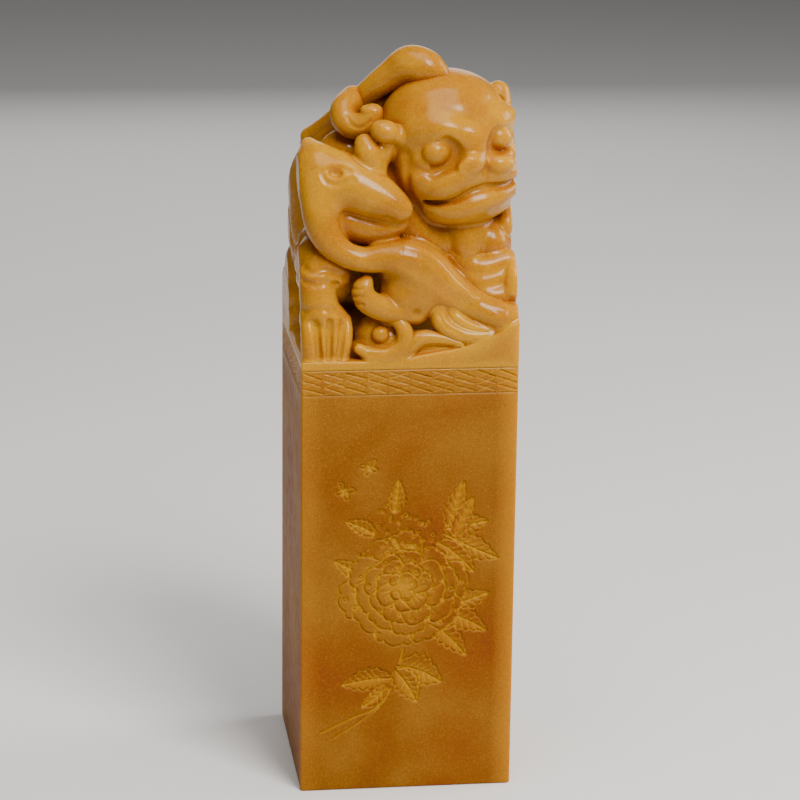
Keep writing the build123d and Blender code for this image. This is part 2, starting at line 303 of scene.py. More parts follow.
def skin(clay):
    """Closed mesh of a field: one vertex in each cell that the surface crosses, at the mean of its
    crossings, and one face for each grid edge that it crosses, facing out of the stone."""
    v = clay.value
    # The outermost grid points count as just outside, so that the mesh closes
    just_outside = 0.01
    for axis in range(3):
        for end in (0, -1):
            rim = [slice(None)] * 3
            rim[axis] = end
            v[tuple(rim)] = np.maximum(v[tuple(rim)], just_outside)
    solid = v < 0
    n = np.array(v.shape)
    cells = n - 1
    total = np.zeros((*cells, 3), np.float32)
    hits = np.zeros(cells, np.float32)
    crossings = []
    for axis in range(3):
        first = np.take(v, range(n[axis] - 1), axis)
        last = np.take(v, range(1, n[axis]), axis)
        crossed = (first < 0) != (last < 0)
        share = np.where(crossed, first / np.where(crossed, first - last, 1), 0)
        others = [a for a in range(3) if a != axis]
        grid = np.indices(crossed.shape).astype(np.float32)
        grid[axis] += share
        for shift in np.ndindex(2, 2):
            part = [slice(None)] * 3
            for other, step in zip(others, shift):
                part[other] = slice(step, n[other] - 1 + step)
            part = tuple(part)
            hit = crossed[part]
            hits += hit
            total += np.where(hit[..., None], np.stack([g[part] for g in grid], -1), 0)
        crossings.append(crossed)
    used = hits > 0
    number = np.full(cells, -1)
    number[used] = np.arange(used.sum())
    verts = clay.low + clay.step * total[used] / hits[used][:, None]
    faces = []
    for axis, crossed in enumerate(crossings):
        a, b = (axis + 1) % 3, (axis + 2) % 3
        place = np.argwhere(crossed)
        inner = (place[:, a] > 0) & (place[:, b] > 0)
        inner &= (place[:, a] < cells[a]) & (place[:, b] < cells[b])
        place = place[inner]
        corners = []
        for da, db in ((-1, -1), (0, -1), (0, 0), (-1, 0)):
            spot = place.copy()
            spot[:, a] += da
            spot[:, b] += db
            corners.append(number[spot[:, 0], spot[:, 1], spot[:, 2]])
        quad = np.stack(corners, 1)
        outward = solid[place[:, 0], place[:, 1], place[:, 2]]
        faces.append(np.where(outward[:, None], quad, quad[:, ::-1]))
    return verts, np.vstack(faces)


# Pieces of the carved knob

# Each function returns the block that it carves: the soft joint of balls, given by a middle and
# radii, and of limbs, whose rows are a place and the radius there, with lines pressed in by a width
# and a depth. The number after a form is the width of its blend.


def trimmed(clay, inset=0.0):
    """Cuts a block back to the column's planes and to the heights of the knob, as the larger of its
    distance and theirs; each piece lies a hair behind its neighbour there."""
    points = clay.points(clay.everywhere())
    side = np.maximum(np.abs(points[..., 0]), np.abs(points[..., 1])) - HALF + inset
    ends = np.maximum(LINE_HIGH - points[..., 2], points[..., 2] - TOP)
    clay.limit = np.maximum(side, ends).astype(np.float32)
    clay.value = np.maximum(clay.value, clay.limit)
    return clay


def rock():
    """Rocky ground: a ledge that rises as a power of the way to the right and to the front, a mound
    that falls off with the square of the way from its middle, corner lumps and the folds between."""
    clay = Clay((-EDGE, -EDGE, 66.5), (EDGE, EDGE, 81), 0.28)
    clay.add(slab((0, 0, 30), (HALF, HALF, 38.9), ARRIS), 0)
    points = clay.points(clay.everywhere())
    x, y = points[..., 0], points[..., 1]
    ledge = 6.0 * np.clip((x + 1.5) / 18.0, 0, 1) ** 1.7 * np.clip((-y - 4) / 6, 0, 1) ** 0.6
    mound = 4.5 * np.clip(1 - (x / 17) ** 2 - ((y - 3) / 17) ** 2, 0, 1)
    top = 68.6 + np.maximum(ledge, mound)
    clay.value = soft_min(clay.value, ((points[..., 2] - top) * 0.85).astype(np.float32), 0.5)
    clay.add(ball((-12, 11, 72), (7, 9.5, 7.2)), 1.2)
    clay.add(ball((12, 10, 69), (8, 9, 6)), 1.2)
    shoulder = [
        (-7, -12.2, 69.6, 2), (-3, -12.6, 70.6, 2.4), (2, -13.0, 70.4, 2.3), (8, -13.2, 71.4, 2.3),
        (13, -13, 73, 2.4),
    ]
    clay.limb(shoulder, 0.8)
    folds = (
        ((-16.4, 3, 74), (-16.2, 6, 71.5), (-16.6, 8, 69)),
        ((-16, 12, 76), (-16.5, 13, 72.5), (-16.5, 12, 69.5)),
        ((-10, 16.4, 77), (-9, 16.6, 73.5), (-11, 16.6, 70)),
        ((0.5, 16.5, 73), (1.6, 16.5, 71), (0.6, 16.5, 69)),
        ((5.5, 16, 73), (7, 16.5, 71), (6.2, 16.5, 69)),
        ((16, 3, 73), (16.5, 4.6, 71), (16.5, 3.4, 69)),
        ((16.2, 14, 73), (16.5, 14.8, 71), (16.5, 13.6, 69)),
        ((14, -2, 73), (16.4, -1, 71.4), (16.5, -2, 69.4)),
    )
    for fold in folds:
        clay.groove(fold, 0.8, 0.9)
    # Flat shelf under the wave of cloud
    shelf = [(-1, -15.7, 68.6, 0.7), (4, -15.9, 69.2, 0.9), (8.4, -15.9, 70.0, 0.8), (11.6, -15.9, 71.2, 0.6)]
    clay.limb(shelf, 0.5)
    return trimmed(clay)


def body():
    """Crouching body: barrel, rump, shoulders, throat, chest and the near shoulder, with a row of
    knuckles down the spine, the folds of the flanks and hair at the root of the tail."""
    clay = Clay((-EDGE, -15, 67), (EDGE, 17, 111), 0.27)
    clay.add(ball((-4, 4.5, 85.5), (12.8, 11.0, 12.5), turn(roll=8)), 1.5)
    clay.add(ball((-8.5, 5, 92), (8.0, 9.0, 8.5)), 2.0)
    clay.add(ball((5, 4, 87), (9.5, 9.5, 12)), 2.0)
    clay.add(ball((-6.0, 3.0, 97.8), (6.0, 6.0, 5.6), turn(roll=14)), 1.6)
    clay.add(ball((-8.6, -2.6, 97.6), (4.2, 3.6, 4.6)), 1.2)
    neck = [(-9, 3.4, 99.6, 3.6), (-5.6, 1.6, 103.4, 3.2), (-2.0, 0.6, 106.4, 2.9), (1.5, 0.4, 107.2, 2.6)]
    clay.limb(neck, 1.2)
    clay.add(ball((9, -5.0, 86), (5.2, 6.6, 7.5)), 1.2)
    clay.add(ball((13.2, -3.5, 84), (4.2, 6.5, 6)), 1.0)
    clay.add(ball((16.2, -4.5, 87), (1.6, 2.2, 2.7)), 0.4)
    # Throat between the cub and the chin, and the shaded hollow beside the lion's cheek
    throat = [(-1.6, -4.5, 97, 4), (-1.2, -6.4, 93, 4.4), (0.4, -7.0, 89.4, 4.6), (3.0, -7.4, 85.4, 4.6)]
    clay.limb(throat, 1.6)
    clay.limb([(8.2, -9.4, 88.9, 2.0), (8.6, -9.9, 85.8, 2.2), (9.2, -9.8, 82.6, 2.2)], 0.5)
    clay.add(ball((13.0, -8.0, 84.9), (2.8, 3.0, 3.3)), 0.6)
    clay.limb([(16, -5.5, 89.6, 1.3), (15.6, -7.2, 87.8, 1.5), (14.9, -7.6, 86.2, 1.0)], 0.25)
    spine = smooth([(-11.8, 8, 96.4), (-9.6, 9, 98.6), (-6, 9.4, 100.0), (-1, 9.2, 99.2), (4, 9.2, 99)], 3)
    for k, knuckle in enumerate(clay.settle(spine)):
        clay.add(ball(knuckle, 1.25 + 0.12 * np.sin(k * 1.7)), 0.45)
    folds = (
        ((-13, 13, 92), (-9.5, 15, 88.5), (-9, 15.5, 84), (-11.5, 14.5, 80.5)),
        ((-5.5, 15, 93), (-2.6, 15.6, 88), (-3.6, 15.4, 83)),
        ((-1.2, 15, 94), (1.6, 15, 89), (0.8, 15, 84)),
        ((3.2, 13.8, 94), (5.8, 13.6, 89.4), (5.2, 13.4, 85)),
        ((-16.6, 7.4, 90), (-16.8, 3.6, 86.4), (-16.6, 1.4, 82)),
    )
    for fold in folds:
        clay.crease(fold, 0.75, 0.55)
    # Five hairs that run from the tail's root towards the cub
    for share in np.arange(5) / 4:
        a = np.array((-13.2 + 1.2 * share, 1.0 - 2.4 * share, 97.2 + 1.2 * share))
        b = a + (3.0, -1.6, 2.6 - 0.5 * share)
        c = b + (3.4, -0.6, 0.2 - 0.6 * share)
        clay.crease([a, b, c], 0.3, 0.4)
    return trimmed(clay, 0.03)


def near_hind_leg():
    """Thigh, knee folds, shin and hind paw with four toes at the front left corner."""
    clay = Clay((-EDGE, -EDGE, 67), (-5, 3, 91), 0.22)
    clay.add(ball((-11.8, -6, 82), (5.0, 7.5, 7.0), turn(pitch=10)), 1.0)
    clay.limb([(-13.9, -9.6, 83.6, 3.0), (-12.6, -11.4, 82.9, 3.1), (-10.8, -11.8, 81.6, 2.4)], 0.8)
    clay.limb([(-13.7, -12.2, 81.0, 3.0), (-13.7, -12.7, 78.4, 2.85), (-13.4, -13.2, 76.4, 2.9)], 0.5)
    clay.limb([(-14.2, -13.0, 74.8, 2.4), (-12.2, -13.5, 74.9, 2.6), (-10.9, -13.0, 74.2, 2.1)], 0.5)
    toes = ((-14.9, -14.9, 1.5), (-13.2, -13.1, 1.5), (-11.4, -11.5, 1.5), (-9.9, -10.3, 1.2))
    for root, tip, size in toes:
        toe = [
            (root, -13.6, 74.6, size), (root, -14.5, 73.2, size + 0.1),
            (0.5 * (root + tip), -14.9, 71.4, size + 0.15), (tip, -14.8, 69.6, size),
        ]
        clay.limb(toe, 0.25)
    gaps = (
        ((-14.4, -15.7, 74.6), (-14.1, -16.0, 72.4), (-13.8, -16.0, 69.6)),
        ((-12.2, -15.7, 74.9), (-12.3, -16.1, 72.4), (-12.3, -16.0, 69.6)),
        ((-10.2, -15.4, 74.6), (-10.5, -15.9, 72.2), (-10.9, -15.9, 69.6)),
    )
    for gap in gaps:
        clay.groove(gap, 0.46, 1.5)
    knee = [
        (-16.6, -13.6, 83.2), (-14.8, -15.0, 82.5), (-13.0, -15.4, 82.9), (-10.9, -14.8, 81.9),
        (-9.4, -14.2, 81.0),
    ]
    clay.crease(knee, 0.42, 0.75)
    under = [(-16.6, -14.4, 81.0), (-14.4, -15.8, 80.5), (-12.4, -15.8, 80.9), (-10.6, -14.8, 80.0)]
    clay.crease(under, 0.4, 0.6)
    cuff = [(-16.4, -14.6, 76.4), (-14.2, -16.2, 76.9), (-12.2, -16.4, 77.0), (-10.2, -15.4, 76.2)]
    clay.crease(cuff, 0.5, 0.5)
    whorl = spiral((-16.8, -4.6, 83.4), (0, 1, 0), (0, 0, 1), 4.2, 1.6, 2.4)
    clay.press(clay.settle(whorl), 0.6, 0.6)
    return trimmed(clay, 0.05)


def near_foreleg():
    """Three rolls of the folded foreleg and its knuckle at the right."""
    clay = Clay((3, -EDGE, 72), (EDGE, -4, 86), 0.22)
    clay.limb([(7.0, -10.0, 83.2, 1.3), (11.1, -10.7, 81.8, 1.9), (15.4, -10.0, 82.8, 1.6)], 0.7)
    clay.limb([(7.7, -10.6, 80.8, 1.4), (11.3, -11.3, 79.7, 1.8), (15.6, -10.7, 80.8, 1.6)], 0.7)
    clay.limb([(9.6, -11.0, 78.4, 1.8), (12.7, -11.9, 77.5, 2.0), (17, -11.2, 78.0, 2.0)], 0.7)
    clay.limb([(16.3, -10.8, 82.4, 1.3), (16.4, -12.0, 80.7, 1.7), (16.0, -12.4, 78.6, 1.6)], 0.35)
    return trimmed(clay, 0.07)


def far_legs():
    """Haunch with its whorl and a paw at the back left, foreleg and paw at the back right."""
    clay = Clay((-EDGE, 0, 67), (EDGE, EDGE, 90), 0.26)
    clay.add(ball((-10.5, 9.5, 76.5), (6.5, 7.5, 8.5)), 0.8)
    clay.limb([(10.2, 8, 84.4, 3.4), (12.6, 10, 79.7, 3.2), (12.9, 11, 75, 2.8), (12.6, 11.6, 71, 2.8)], 0.8)
    for middle in (-5.5, 12.5):
        clay.add(slab((middle, 12.4, 71.3), (3.3, 3.0, 2.4), 1.8), 0.5)
        for k in range(4):
            x = middle - 2.55 + 1.7 * k
            toe = [(x, 13.0, 73.0, 1.1), (x, 14.6, 72.4, 1.2), (x, 15.3, 70.8, 1.25), (x, 15.2, 69.2, 1.2)]
            clay.limb(toe, 0.2)
    clay.press(clay.settle(spiral((-10.5, 17, 77.5), (1, 0, 0), (0, 0, 1), 4.4, 1.6, 0.6)), 0.65, 0.7)
    clay.press(clay.settle(spiral((16.8, 9.6, 79.4), (0, 1, 0), (0, 0, 1), 2.3, 1.3, 2.0)), 0.5, 0.5)
    return trimmed(clay, 0.05)


# Middle of the lion's head, and the way it faces: turned a little to the right, and tipped
HEAD = np.array((7.1, -5.5, 99.5))
HEAD_FACING = turn(yaw=20) @ turn(roll=-5)


def on_head(rows):
    """Rows of places in the head's own frame, turned and moved to the knob; a radius stays as it is."""
    rows = np.array(rows, float)
    return np.hstack([HEAD + rows[:, :3] @ HEAD_FACING.T, rows[:, 3:]])


def head_ball(place, radii):
    """Ball in the head's own frame."""
    return ball(on_head([place])[0], radii, HEAD_FACING)


def head():
    """Lion's head: domed skull, brows that slope down to the broad nose, round eyes in dark sockets,
    a wide lip with a drooping flew, a wavy mouth with deep corners, a full lower lip and an ear."""
    clay = Clay((-6, -17.5, 86), (EDGE, 10, 114), 0.2)
    clay.add(head_ball((-0.4, 0.8, 1.8), (10.7, 9.7, 10.0)), 0.6)
    clay.add(head_ball((0, 3.5, -2), (9, 7.5, 8)), 1.0)
    clay.add(head_ball((0, -3.4, -4.8), (8.2, 5.4, 5.4)), 1.4)
    # Cheek, and the brow as a soft swelling that rises outwards over the eye, on either side
    brow = (
        (0.2, -8.0, 2.6, 1.2), (2.4, -7.7, 3.6, 1.4), (4.9, -6.9, 4.5, 1.5), (7.4, -5.0, 4.3, 1.3),
        (9.0, -3.0, 3.0, 0.8),
    )
    for side in (-1, 1):
        clay.add(head_ball((side * 7.0, -3.2, -2.8), (3.4, 4.4, 4.2)), 1.4)
        clay.limb(on_head([(side * x, y, z, radius) for x, y, z, radius in brow]), 2.0)
    # Nose: a bridge from the brows, two humps side by side and a bar between them
    clay.limb(on_head([(-0.8, -7.9, 3.0, 1.2), (-0.8, -8.3, 1.2, 1.4), (-0.4, -8.8, -0.8, 1.6)]), 1.6)
    bar = [(-2.0, -8.4, -1.0, 1.5), (0.6, -8.5, -1.5, 1.3), (3.2, -8.3, -1.2, 1.5), (5.6, -7.0, -1.2, 1.3)]
    clay.limb(on_head(bar), 0.6)
    clay.add(head_ball((-2.0, -9.3, -0.9), (2.6, 1.9, 1.8)), 0.6)
    clay.add(head_ball((3.2, -9.5, -1.6), (2.4, 1.8, 1.7)), 0.6)
    # Upper lip: a thick flew that runs down to the left corner of the mouth, and the rest of the lip
    flew = [
        (-1.8, -8.7, -1.9, 1.8), (-3.9, -8.3, -3.1, 2.0), (-5.9, -7.1, -4.1, 2.1), (-7.4, -5.1, -4.6, 1.7),
    ]
    clay.limb(on_head(flew), 0.5)
    lip = [
        (-4.0, -7.4, -4.0, 1.7), (-2.0, -8.1, -3.6, 1.6), (0.4, -8.4, -3.2, 1.5), (3.0, -8.2, -3.4, 1.7),
        (6.4, -6.6, -3.6, 1.8),
    ]
    clay.limb(on_head(lip), 0.7)
    clay.groove(on_head([(0.2, -9.9, -1.6), (0.5, -10.0, -2.8), (0.4, -9.8, -4.4)]), 0.45, 0.35)
    # Lower lip and chin
    clay.add(head_ball((0, -4.4, -5.8), (8.0, 5.0, 3.0)), 0.6)
    chin = [
        (-7.0, -4.8, -7.0, 1.3), (-5.2, -6.5, -7.6, 1.6), (-2.8, -7.8, -7.7, 1.65), (0, -8.4, -7.1, 1.7),
        (3.0, -8.2, -6.7, 1.65), (6.2, -6.6, -6.2, 1.5),
    ]
    clay.limb(on_head(chin), 0.6)
    clay.add(head_ball((0, -4.6, -8.6), (7.0, 4.0, 2.4)), 1.4)
    # Mouth with a deep corner at either end, the edge of the cheek and the fold over the flew
    mouth = [
        (-7.2, -5.6, -5.9), (-6.4, -6.5, -6.2), (-5.6, -7.3, -6.3), (-4.6, -8.0, -6.3), (-3.3, -8.6, -5.9),
        (-1.7, -9.2, -5.2), (0.4, -9.4, -4.9), (2.4, -9.3, -4.9), (4.4, -8.7, -5.2), (6.4, -7.5, -5.0),
        (8.2, -5.8, -4.6),
    ]
    clay.groove(on_head(mouth), 0.42, 1.1)
    clay.press(on_head([(-7.0, -5.4, -5.9), (-6.1, -6.7, -6.1)]), 0.7, 1.8)
    clay.press(on_head([(7.4, -6.6, -5.0), (8.6, -5.0, -4.8)]), 0.6, 0.8)
    cheek = [(-9.8, -4.4, 0.6), (-9.8, -4.6, -2.0), (-9.6, -4.4, -4.6), (-8.6, -4.4, -7.4)]
    clay.groove(on_head(cheek), 0.8, 0.5)
    fold = [(-9.0, -5.6, -1.2), (-6.6, -7.3, -2.0), (-4.4, -8.6, -1.2), (-3.3, -9.3, 0.3)]
    clay.groove(on_head(fold), 0.9, 0.55)
    # Eyes: round balls in shallow sockets, ringed on the side of the nose
    for side, (x, y, z), depth in ((-1, (-5.9, -6.6, 1.1), 0.6), (1, (4.4, -7.2, 1.8), 0.3)):
        clay.cut(head_ball((x + 0.1, y - 2.6, z - 0.3), (2.7, 1.9, 2.0)), 1.2)
        ring = [
            (x - side * 1.0, y - 1.7, z + 2.1), (x - side * 2.2, y - 1.8, z + 1.1),
            (x - side * 2.4, y - 1.7, z - 0.7), (x - side * 1.2, y - 1.3, z - 1.9),
            (x + side * 0.7, y - 0.5, z - 2.1),
        ]
        clay.groove(on_head(smooth(ring, 4)), 0.55, depth)
        clay.add(head_ball((x, y, z), (2.2, 1.9, 1.95)), 0.15)
    # Ear: a leaf with a hollow face
    clay.limb([(13.6, -3.4, 102.4, 2.5), (14.3, -3.8, 105.0, 2.4), (14.6, -3.4, 107.3, 1.8)], 0.4)
    clay.cut(ball((14.4, -6.3, 105.8), (1.1, 1.0, 2.0), turn(roll=8)), 0.4)
    return trimmed(clay, 0.04)


def tail():
    """Tail that rises from the rump, lies over the crown and ends in a bulb, with two strands."""
    clay = Clay((-17, -10, 93), (9, 9, 115.6), 0.22)
    line = [
        (-12.9, 5, 99.3, 1.8), (-10.9, 3, 101, 1.85), (-9, 1, 103.1, 1.9), (-6.9, -1, 105.4, 1.9),
        (-5.1, -2.4, 107.3, 1.9), (-3.3, -3.4, 109, 2.1), (-1.1, -4, 110.6, 2.5), (0.9, -4.6, 111.7, 3.0),
        (2.9, -5.6, 111.4, 2.9), (4.6, -6.4, 110.7, 2.0),
    ]
    clay.limb(line, 0.4)
    for shift in (0.0, 1.1):
        strand = [(-13.2 + shift, 3.2, 99.4), (-11.4 + shift, 1.6, 101.2), (-9.2 + shift, -0.6, 103.2)]
        clay.crease(strand, 0.3, 0.4)
    return trimmed(clay, 0.02)


def tuft():
    """Thick lock that curls up below the tail and ends blunt."""
    clay = Clay((-13.5, -11.5, 98.5), (-1.5, 1.5, 109.5), 0.18)
    line = [
        (-7.4, -2.0, 106.2, 2.1), (-8.9, -4.0, 105.2, 2.05), (-9.1, -5.2, 103.9, 2.0),
        (-8.3, -6.0, 103.0, 2.0), (-6.8, -6.6, 102.9, 2.0), (-5.5, -7.0, 103.6, 1.9),
        (-4.9, -7.2, 104.8, 1.5),
    ]
    clay.limb(line, 0.3)
    clay.add(ball((-5.2, -7.2, 105.4), (1.7, 1.3, 0.9)), 0.3)
    strand = [(-8.9, -6.8, 104.6), (-8.2, -7.6, 103.3), (-6.8, -8.2, 103.0), (-5.5, -8.6, 103.9)]
    clay.crease(strand, 0.25, 0.25)
    return trimmed(clay, 0.02)


def cub():
    """Cub: a long head whose lit upper plane runs from the ear to the nose over a jaw that falls
    back, and from it the neck, arched body, haunch, long hind leg and the forepaw that hooks up."""
    clay = Clay((-EDGE, -17.4, 70), (EDGE, -4, 103.5), 0.2)
    neck_to_foot = [
        (-14.7, -7.3, 100.4, 0.9), (-14.0, -9.2, 97.9, 2.0), (-13.7, -11.0, 95.0, 2.7),
        (-13.5, -12.4, 92.1, 2.8), (-13.1, -13.1, 89.2, 2.6), (-11.9, -13.7, 86.6, 2.25),
        (-9.6, -14.1, 84.8, 1.95), (-6.7, -14.2, 84.0, 1.95), (-3.6, -14.0, 84.2, 2.4),
        (-0.6, -13.4, 83.6, 3.3), (2.3, -12.7, 81.6, 3.9), (4.8, -12.6, 79.3, 3.5), (7.5, -13.0, 77.7, 2.7),
        (10.4, -13.8, 76.2, 2.2), (13.6, -14.2, 75.0, 2.2), (16.0, -13.6, 74.6, 2.1),
    ]
    clay.limb(neck_to_foot, 0.8)
    clay.add(ball((0.4, -12.0, 78.2), (4.9, 4.0, 4.9)), 1.2)
    clay.add(ball((-0.6, -11.0, 81.8), (4.0, 3.8, 3.2)), 1.0)
    upper = [
        (-12.9, -9.4, 96.5, 4.0), (-9.5, -10.9, 95.1, 4.3), (-5.9, -12.2, 93.6, 3.7),
        (-2.9, -13.5, 92.3, 2.6), (-1.6, -14.0, 91.5, 2.0),
    ]
    clay.limb(upper, 2.4)
    jaw = [
        (-10.9, -9.4, 90.4, 3.6), (-7.9, -10.4, 89.0, 3.3), (-4.5, -11.5, 88.5, 2.8),
        (-2.1, -12.8, 89.4, 1.9),
    ]
    clay.limb(jaw, 0.9)
    # Ear: an oval rim round a pit
    rim = [
        (-9.2, -15, 97.9), (-10.9, -15, 98.7), (-12.7, -15, 98.4), (-13.4, -15, 97.3), (-12.6, -15, 96.0),
        (-10.7, -15, 95.6), (-9.0, -15, 96.3),
    ]
    clay.crease(rim, 0.36, 0.42)
    clay.press(clay.settle([(-11.7, -15, 97.5), (-11.1, -15, 97.3)]) + (0, 0.5, 0), 0.62, 1.5)
    # Nostril, and the soft line of the mouth
    clay.press(clay.settle([(-4.0, -15.4, 90.3), (-3.2, -15.4, 90.0)]), 0.35, 0.6)
    clay.crease([(-10.0, -13, 91.4), (-7.4, -13, 90.2), (-4.2, -13.6, 89.2), (-1.6, -14.4, 89.5)], 0.5, 0.4)
    paw = [
        (1.0, -13.6, 75.5, 1.7), (-1.5, -14.0, 75.8, 1.8), (-4.2, -14.3, 76.6, 1.95),
        (-6.4, -14.6, 77.9, 1.95), (-7.1, -14.7, 79.4, 1.75), (-6.6, -14.6, 80.4, 1.3),
    ]
    clay.limb(paw, 0.35)
    for z in (79.9, 78.7, 77.5):
        notch = clay.settle([(-9.2, -14.6, z), (-8.4, -16.0, z + 0.1), (-7.4, -16.4, z + 0.2)])
        clay.groove(notch + (0.1, 0.1, 0), 0.24, 0.4)
    # Crest along the back, pits before and under the belly, and the toes of the long foot
    crest = [
        (-1.0, -15.6, 86.4), (2.6, -15.6, 85.2), (4.8, -15.7, 83.0), (7.2, -15.8, 80.7), (9.9, -16.0, 78.4),
    ]
    clay.crease(crest, 0.55, -0.35)
    clay.crease([(1.4, -16.2, 83.0), (3.6, -16.4, 80.8), (5.8, -16.4, 78.9), (8.4, -16.2, 77.2)], 0.8, 0.22)
    clay.press([(-4.6, -15.2, 80.9), (-4.7, -14.2, 80.0)], 0.8, 1.2)
    clay.press([(0.9, -16.2, 76.2), (1.0, -15.4, 75.8)], 0.5, 0.9)
    toes = (
        ((12.4, -16.4, 77.0), (13.4, -16.4, 76.1)), ((14.8, -16.4, 76.4), (13.9, -16.4, 75.5)),
        ((15.8, -16.4, 74.9), (14.2, -16.4, 74.6)),
    )
    for toe in toes:
        clay.press(toe, 0.32, 0.45)
    return trimmed(clay, 0.01)


def cub_crest():
    """Two beans and their stem between the cub's head and the lion's brow."""
    clay = Clay((-10.5, -15.5, 93), (3, -5, 106), 0.18)
    clay.add(ball((-3.7, -12, 102.9), (2.3, 1.8, 1.75), turn(roll=12)), 0.2)
    clay.add(ball((-1.5, -11.6, 102.1), (1.5, 1.5, 1.35)), 0.5)
    clay.limb([(-6.7, -11.4, 101.0, 1.5), (-6.1, -11.7, 99.5, 1.95), (-4.9, -11.6, 97.2, 1.6)], 0.3)
    stem = [
        (-4.8, -10.4, 98.0, 1.8), (-3.8, -10.6, 99.8, 1.8), (-2.8, -10.4, 101.2, 1.6),
        (-0.6, -10, 101.2, 1.1),
    ]
    clay.limb(stem, 0.6)
    return clay


def pearl():
    """Ball held in the curl."""
    clay = Clay((-7.2, -16.8, 69.8), (-1.6, -11, 75.2), 0.14)
    clay.add(ball((-4.4, -14.1, 72.5), (1.35, 1.3, 1.35)), 0)
    return clay


def cloud_curl():
    """Curl of cloud round the ball, in two strands."""
    clay = Clay((-10, -EDGE, 66.9), (2.4, -10, 77), 0.18)
    line = [
        (-3.6, -13.8, 75.0, 0.7), (-1.6, -14.6, 74.4, 1.1), (-0.7, -15.0, 72.5, 1.3),
        (-1.2, -15.2, 70.6, 1.4), (-3.4, -15.4, 69.4, 1.35), (-5.8, -15.4, 69.6, 1.2),
        (-7.8, -15.2, 70.6, 0.8),
    ]
    clay.limb(line, 0.3)
    clay.add(ball((-4.2, -12.2, 72.2), (3.8, 2.0, 3.2)), 0.5)
    inner = [
        (-2.6, -16.2, 74.2), (-1.7, -16.4, 72.6), (-2.3, -16.6, 71.0), (-4.2, -16.7, 70.0),
        (-6.2, -16.6, 70.0),
    ]
    clay.groove(inner, 0.3, 0.5)
    return trimmed(clay, 0.02)


def cloud_wave():
    """Wave of cloud that flows out to the right over a hollow."""
    clay = Clay((-6, -EDGE, 66.9), (10, -11.5, 76), 0.18)
    line = [
        (7.6, -15.7, 71.2, 0.45), (4.1, -15.1, 72.0, 0.95), (1.5, -14.9, 71.9, 1.25),
        (-0.2, -15.1, 70.6, 1.3), (-1.8, -15.5, 69.4, 1.15), (-4, -15.7, 68.8, 0.9),
    ]
    clay.limb(line, 0.3)
    clay.groove([(5.2, -16.3, 71.7), (2.2, -16.3, 71.6), (0.8, -16.4, 70.4), (-0.8, -16.6, 69.2)], 0.28, 0.4)
    return trimmed(clay, 0.04)


def cub_tail():
    """Cub's tail: a hook of two strands that sweeps to the right."""
    clay = Clay((0, -EDGE, 69), (16, -11, 80.5), 0.18)
    outer = [
        (4.9, -13.8, 77.6, 0.9), (4.4, -14.2, 75.6, 1.3), (5.2, -14.6, 73.8, 1.5), (7.5, -15.0, 72.5, 1.4),
        (10.3, -15.3, 72.2, 1.0), (12, -15.5, 72.5, 0.6),
    ]
    clay.limb(outer, 0.3)
    inner = [
        (5.8, -14.0, 76.8, 0.8), (7.2, -14.6, 74.8, 1.1), (9.2, -15.0, 73.7, 0.9), (11.8, -15.4, 73.0, 0.5),
    ]
    clay.limb(inner, 0.12)
    clay.groove([(4.4, -15.6, 75.6), (5.3, -16.2, 74.0), (7.4, -16.5, 72.8)], 0.25, 0.3)
    return trimmed(clay, 0.05)


def mane():
    """Mane behind the head: a thick roll, and over it locks from a line of roots to a line of tips,
    which sweep back and end in whorls."""
    clay = Clay((-3, -8, 82), (EDGE, 13, 110), 0.22)
    roll = [
        (15.2, -2.6, 85.3, 2.0), (14.9, 0.7, 90.4, 2.6), (13.9, 3.3, 95.5, 2.6), (11.2, 5, 100.2, 2.6),
        (7.6, 5.6, 103.9, 2.6), (3, 5, 105.3, 2.0),
    ]
    clay.limb(roll, 0.4)
    roots = [
        (16.4, -5.4, 90), (16.6, -2.6, 95), (15.6, -0.6, 100), (12, 1.4, 105), (7.4, 2.0, 108),
        (2.6, 2.2, 108.4),
    ]
    tips = [
        (15.2, 3.0, 84.4), (14.8, 6.2, 89), (13.2, 8.4, 94), (10.4, 9.6, 98.6), (6.4, 10.2, 101.6),
        (1.6, 9.0, 103),
    ]
    roots, tips = smooth(roots, 2), smooth(tips, 2)
    for root, tip in zip(roots, tips):
        middle = 0.5 * (root + tip) + np.array((0.6, 0.4, 1.0))
        path = clay.settle(smooth([root, middle, tip], 3))
        path[-1] = tip
        clay.limb(np.column_stack([path, np.linspace(0.9, 1.35, len(path))]), 0.2)
        clay.add(ball(tip, 1.75), 0.3)
    for tip in tips:
        whorl = spiral(tip + (0.7, 1.1, 0.6), (0.83, -0.55, 0), (-0.3, -0.42, 0.85), 1.3, 1.4, 1.0)
        clay.press(clay.settle(whorl), 0.26, 0.42)
    return trimmed(clay, 0.05)


def fret():
    """Squared spiral of straight bars under the plate of the stamping face: the bars turn a quarter
    each time, and every second one is longer by a bar and a gap."""
    clay = Clay((-15, -15, -0.4), (15, 15, 1.6), 0.2)
    reach, bar, gap, half_height, rounding = HALF - 3.7, 1.4, 1.6, 0.7, 0.12
    at = np.zeros(2)
    for run in range(1, 2 * int(reach // (bar + gap)) + 1):
        for along in np.eye(2):
            way = along * (bar + gap) * run * (-1) ** run
            half = np.abs(way) / 2 + bar / 2
            clay.add(slab((*(at + way / 2), half_height), (*half, half_height), rounding), 0)
            at = at + way
    return clay


# Engraved column

# A stroke is a path on a face, across it and up it, with a width and a depth

# The engraved field of the front: half its width, its lowest and highest place, and its grid's step
FIELD_SIDE, FIELD_LOW, FIELD_HIGH = 14.0, 8.3, 54.6
FIELD_STEP = 0.14
# Equal parts of the quarter turn at an arris
ARRIS_PARTS = 4
# Across a stroke: the lip's share of the depth and its distance, the wide dip's share and its width
LIP_SHARE, LIP_AWAY = 0.42, 1.8
DIP_SHARE, DIP_WIDTH = 0.36, 3
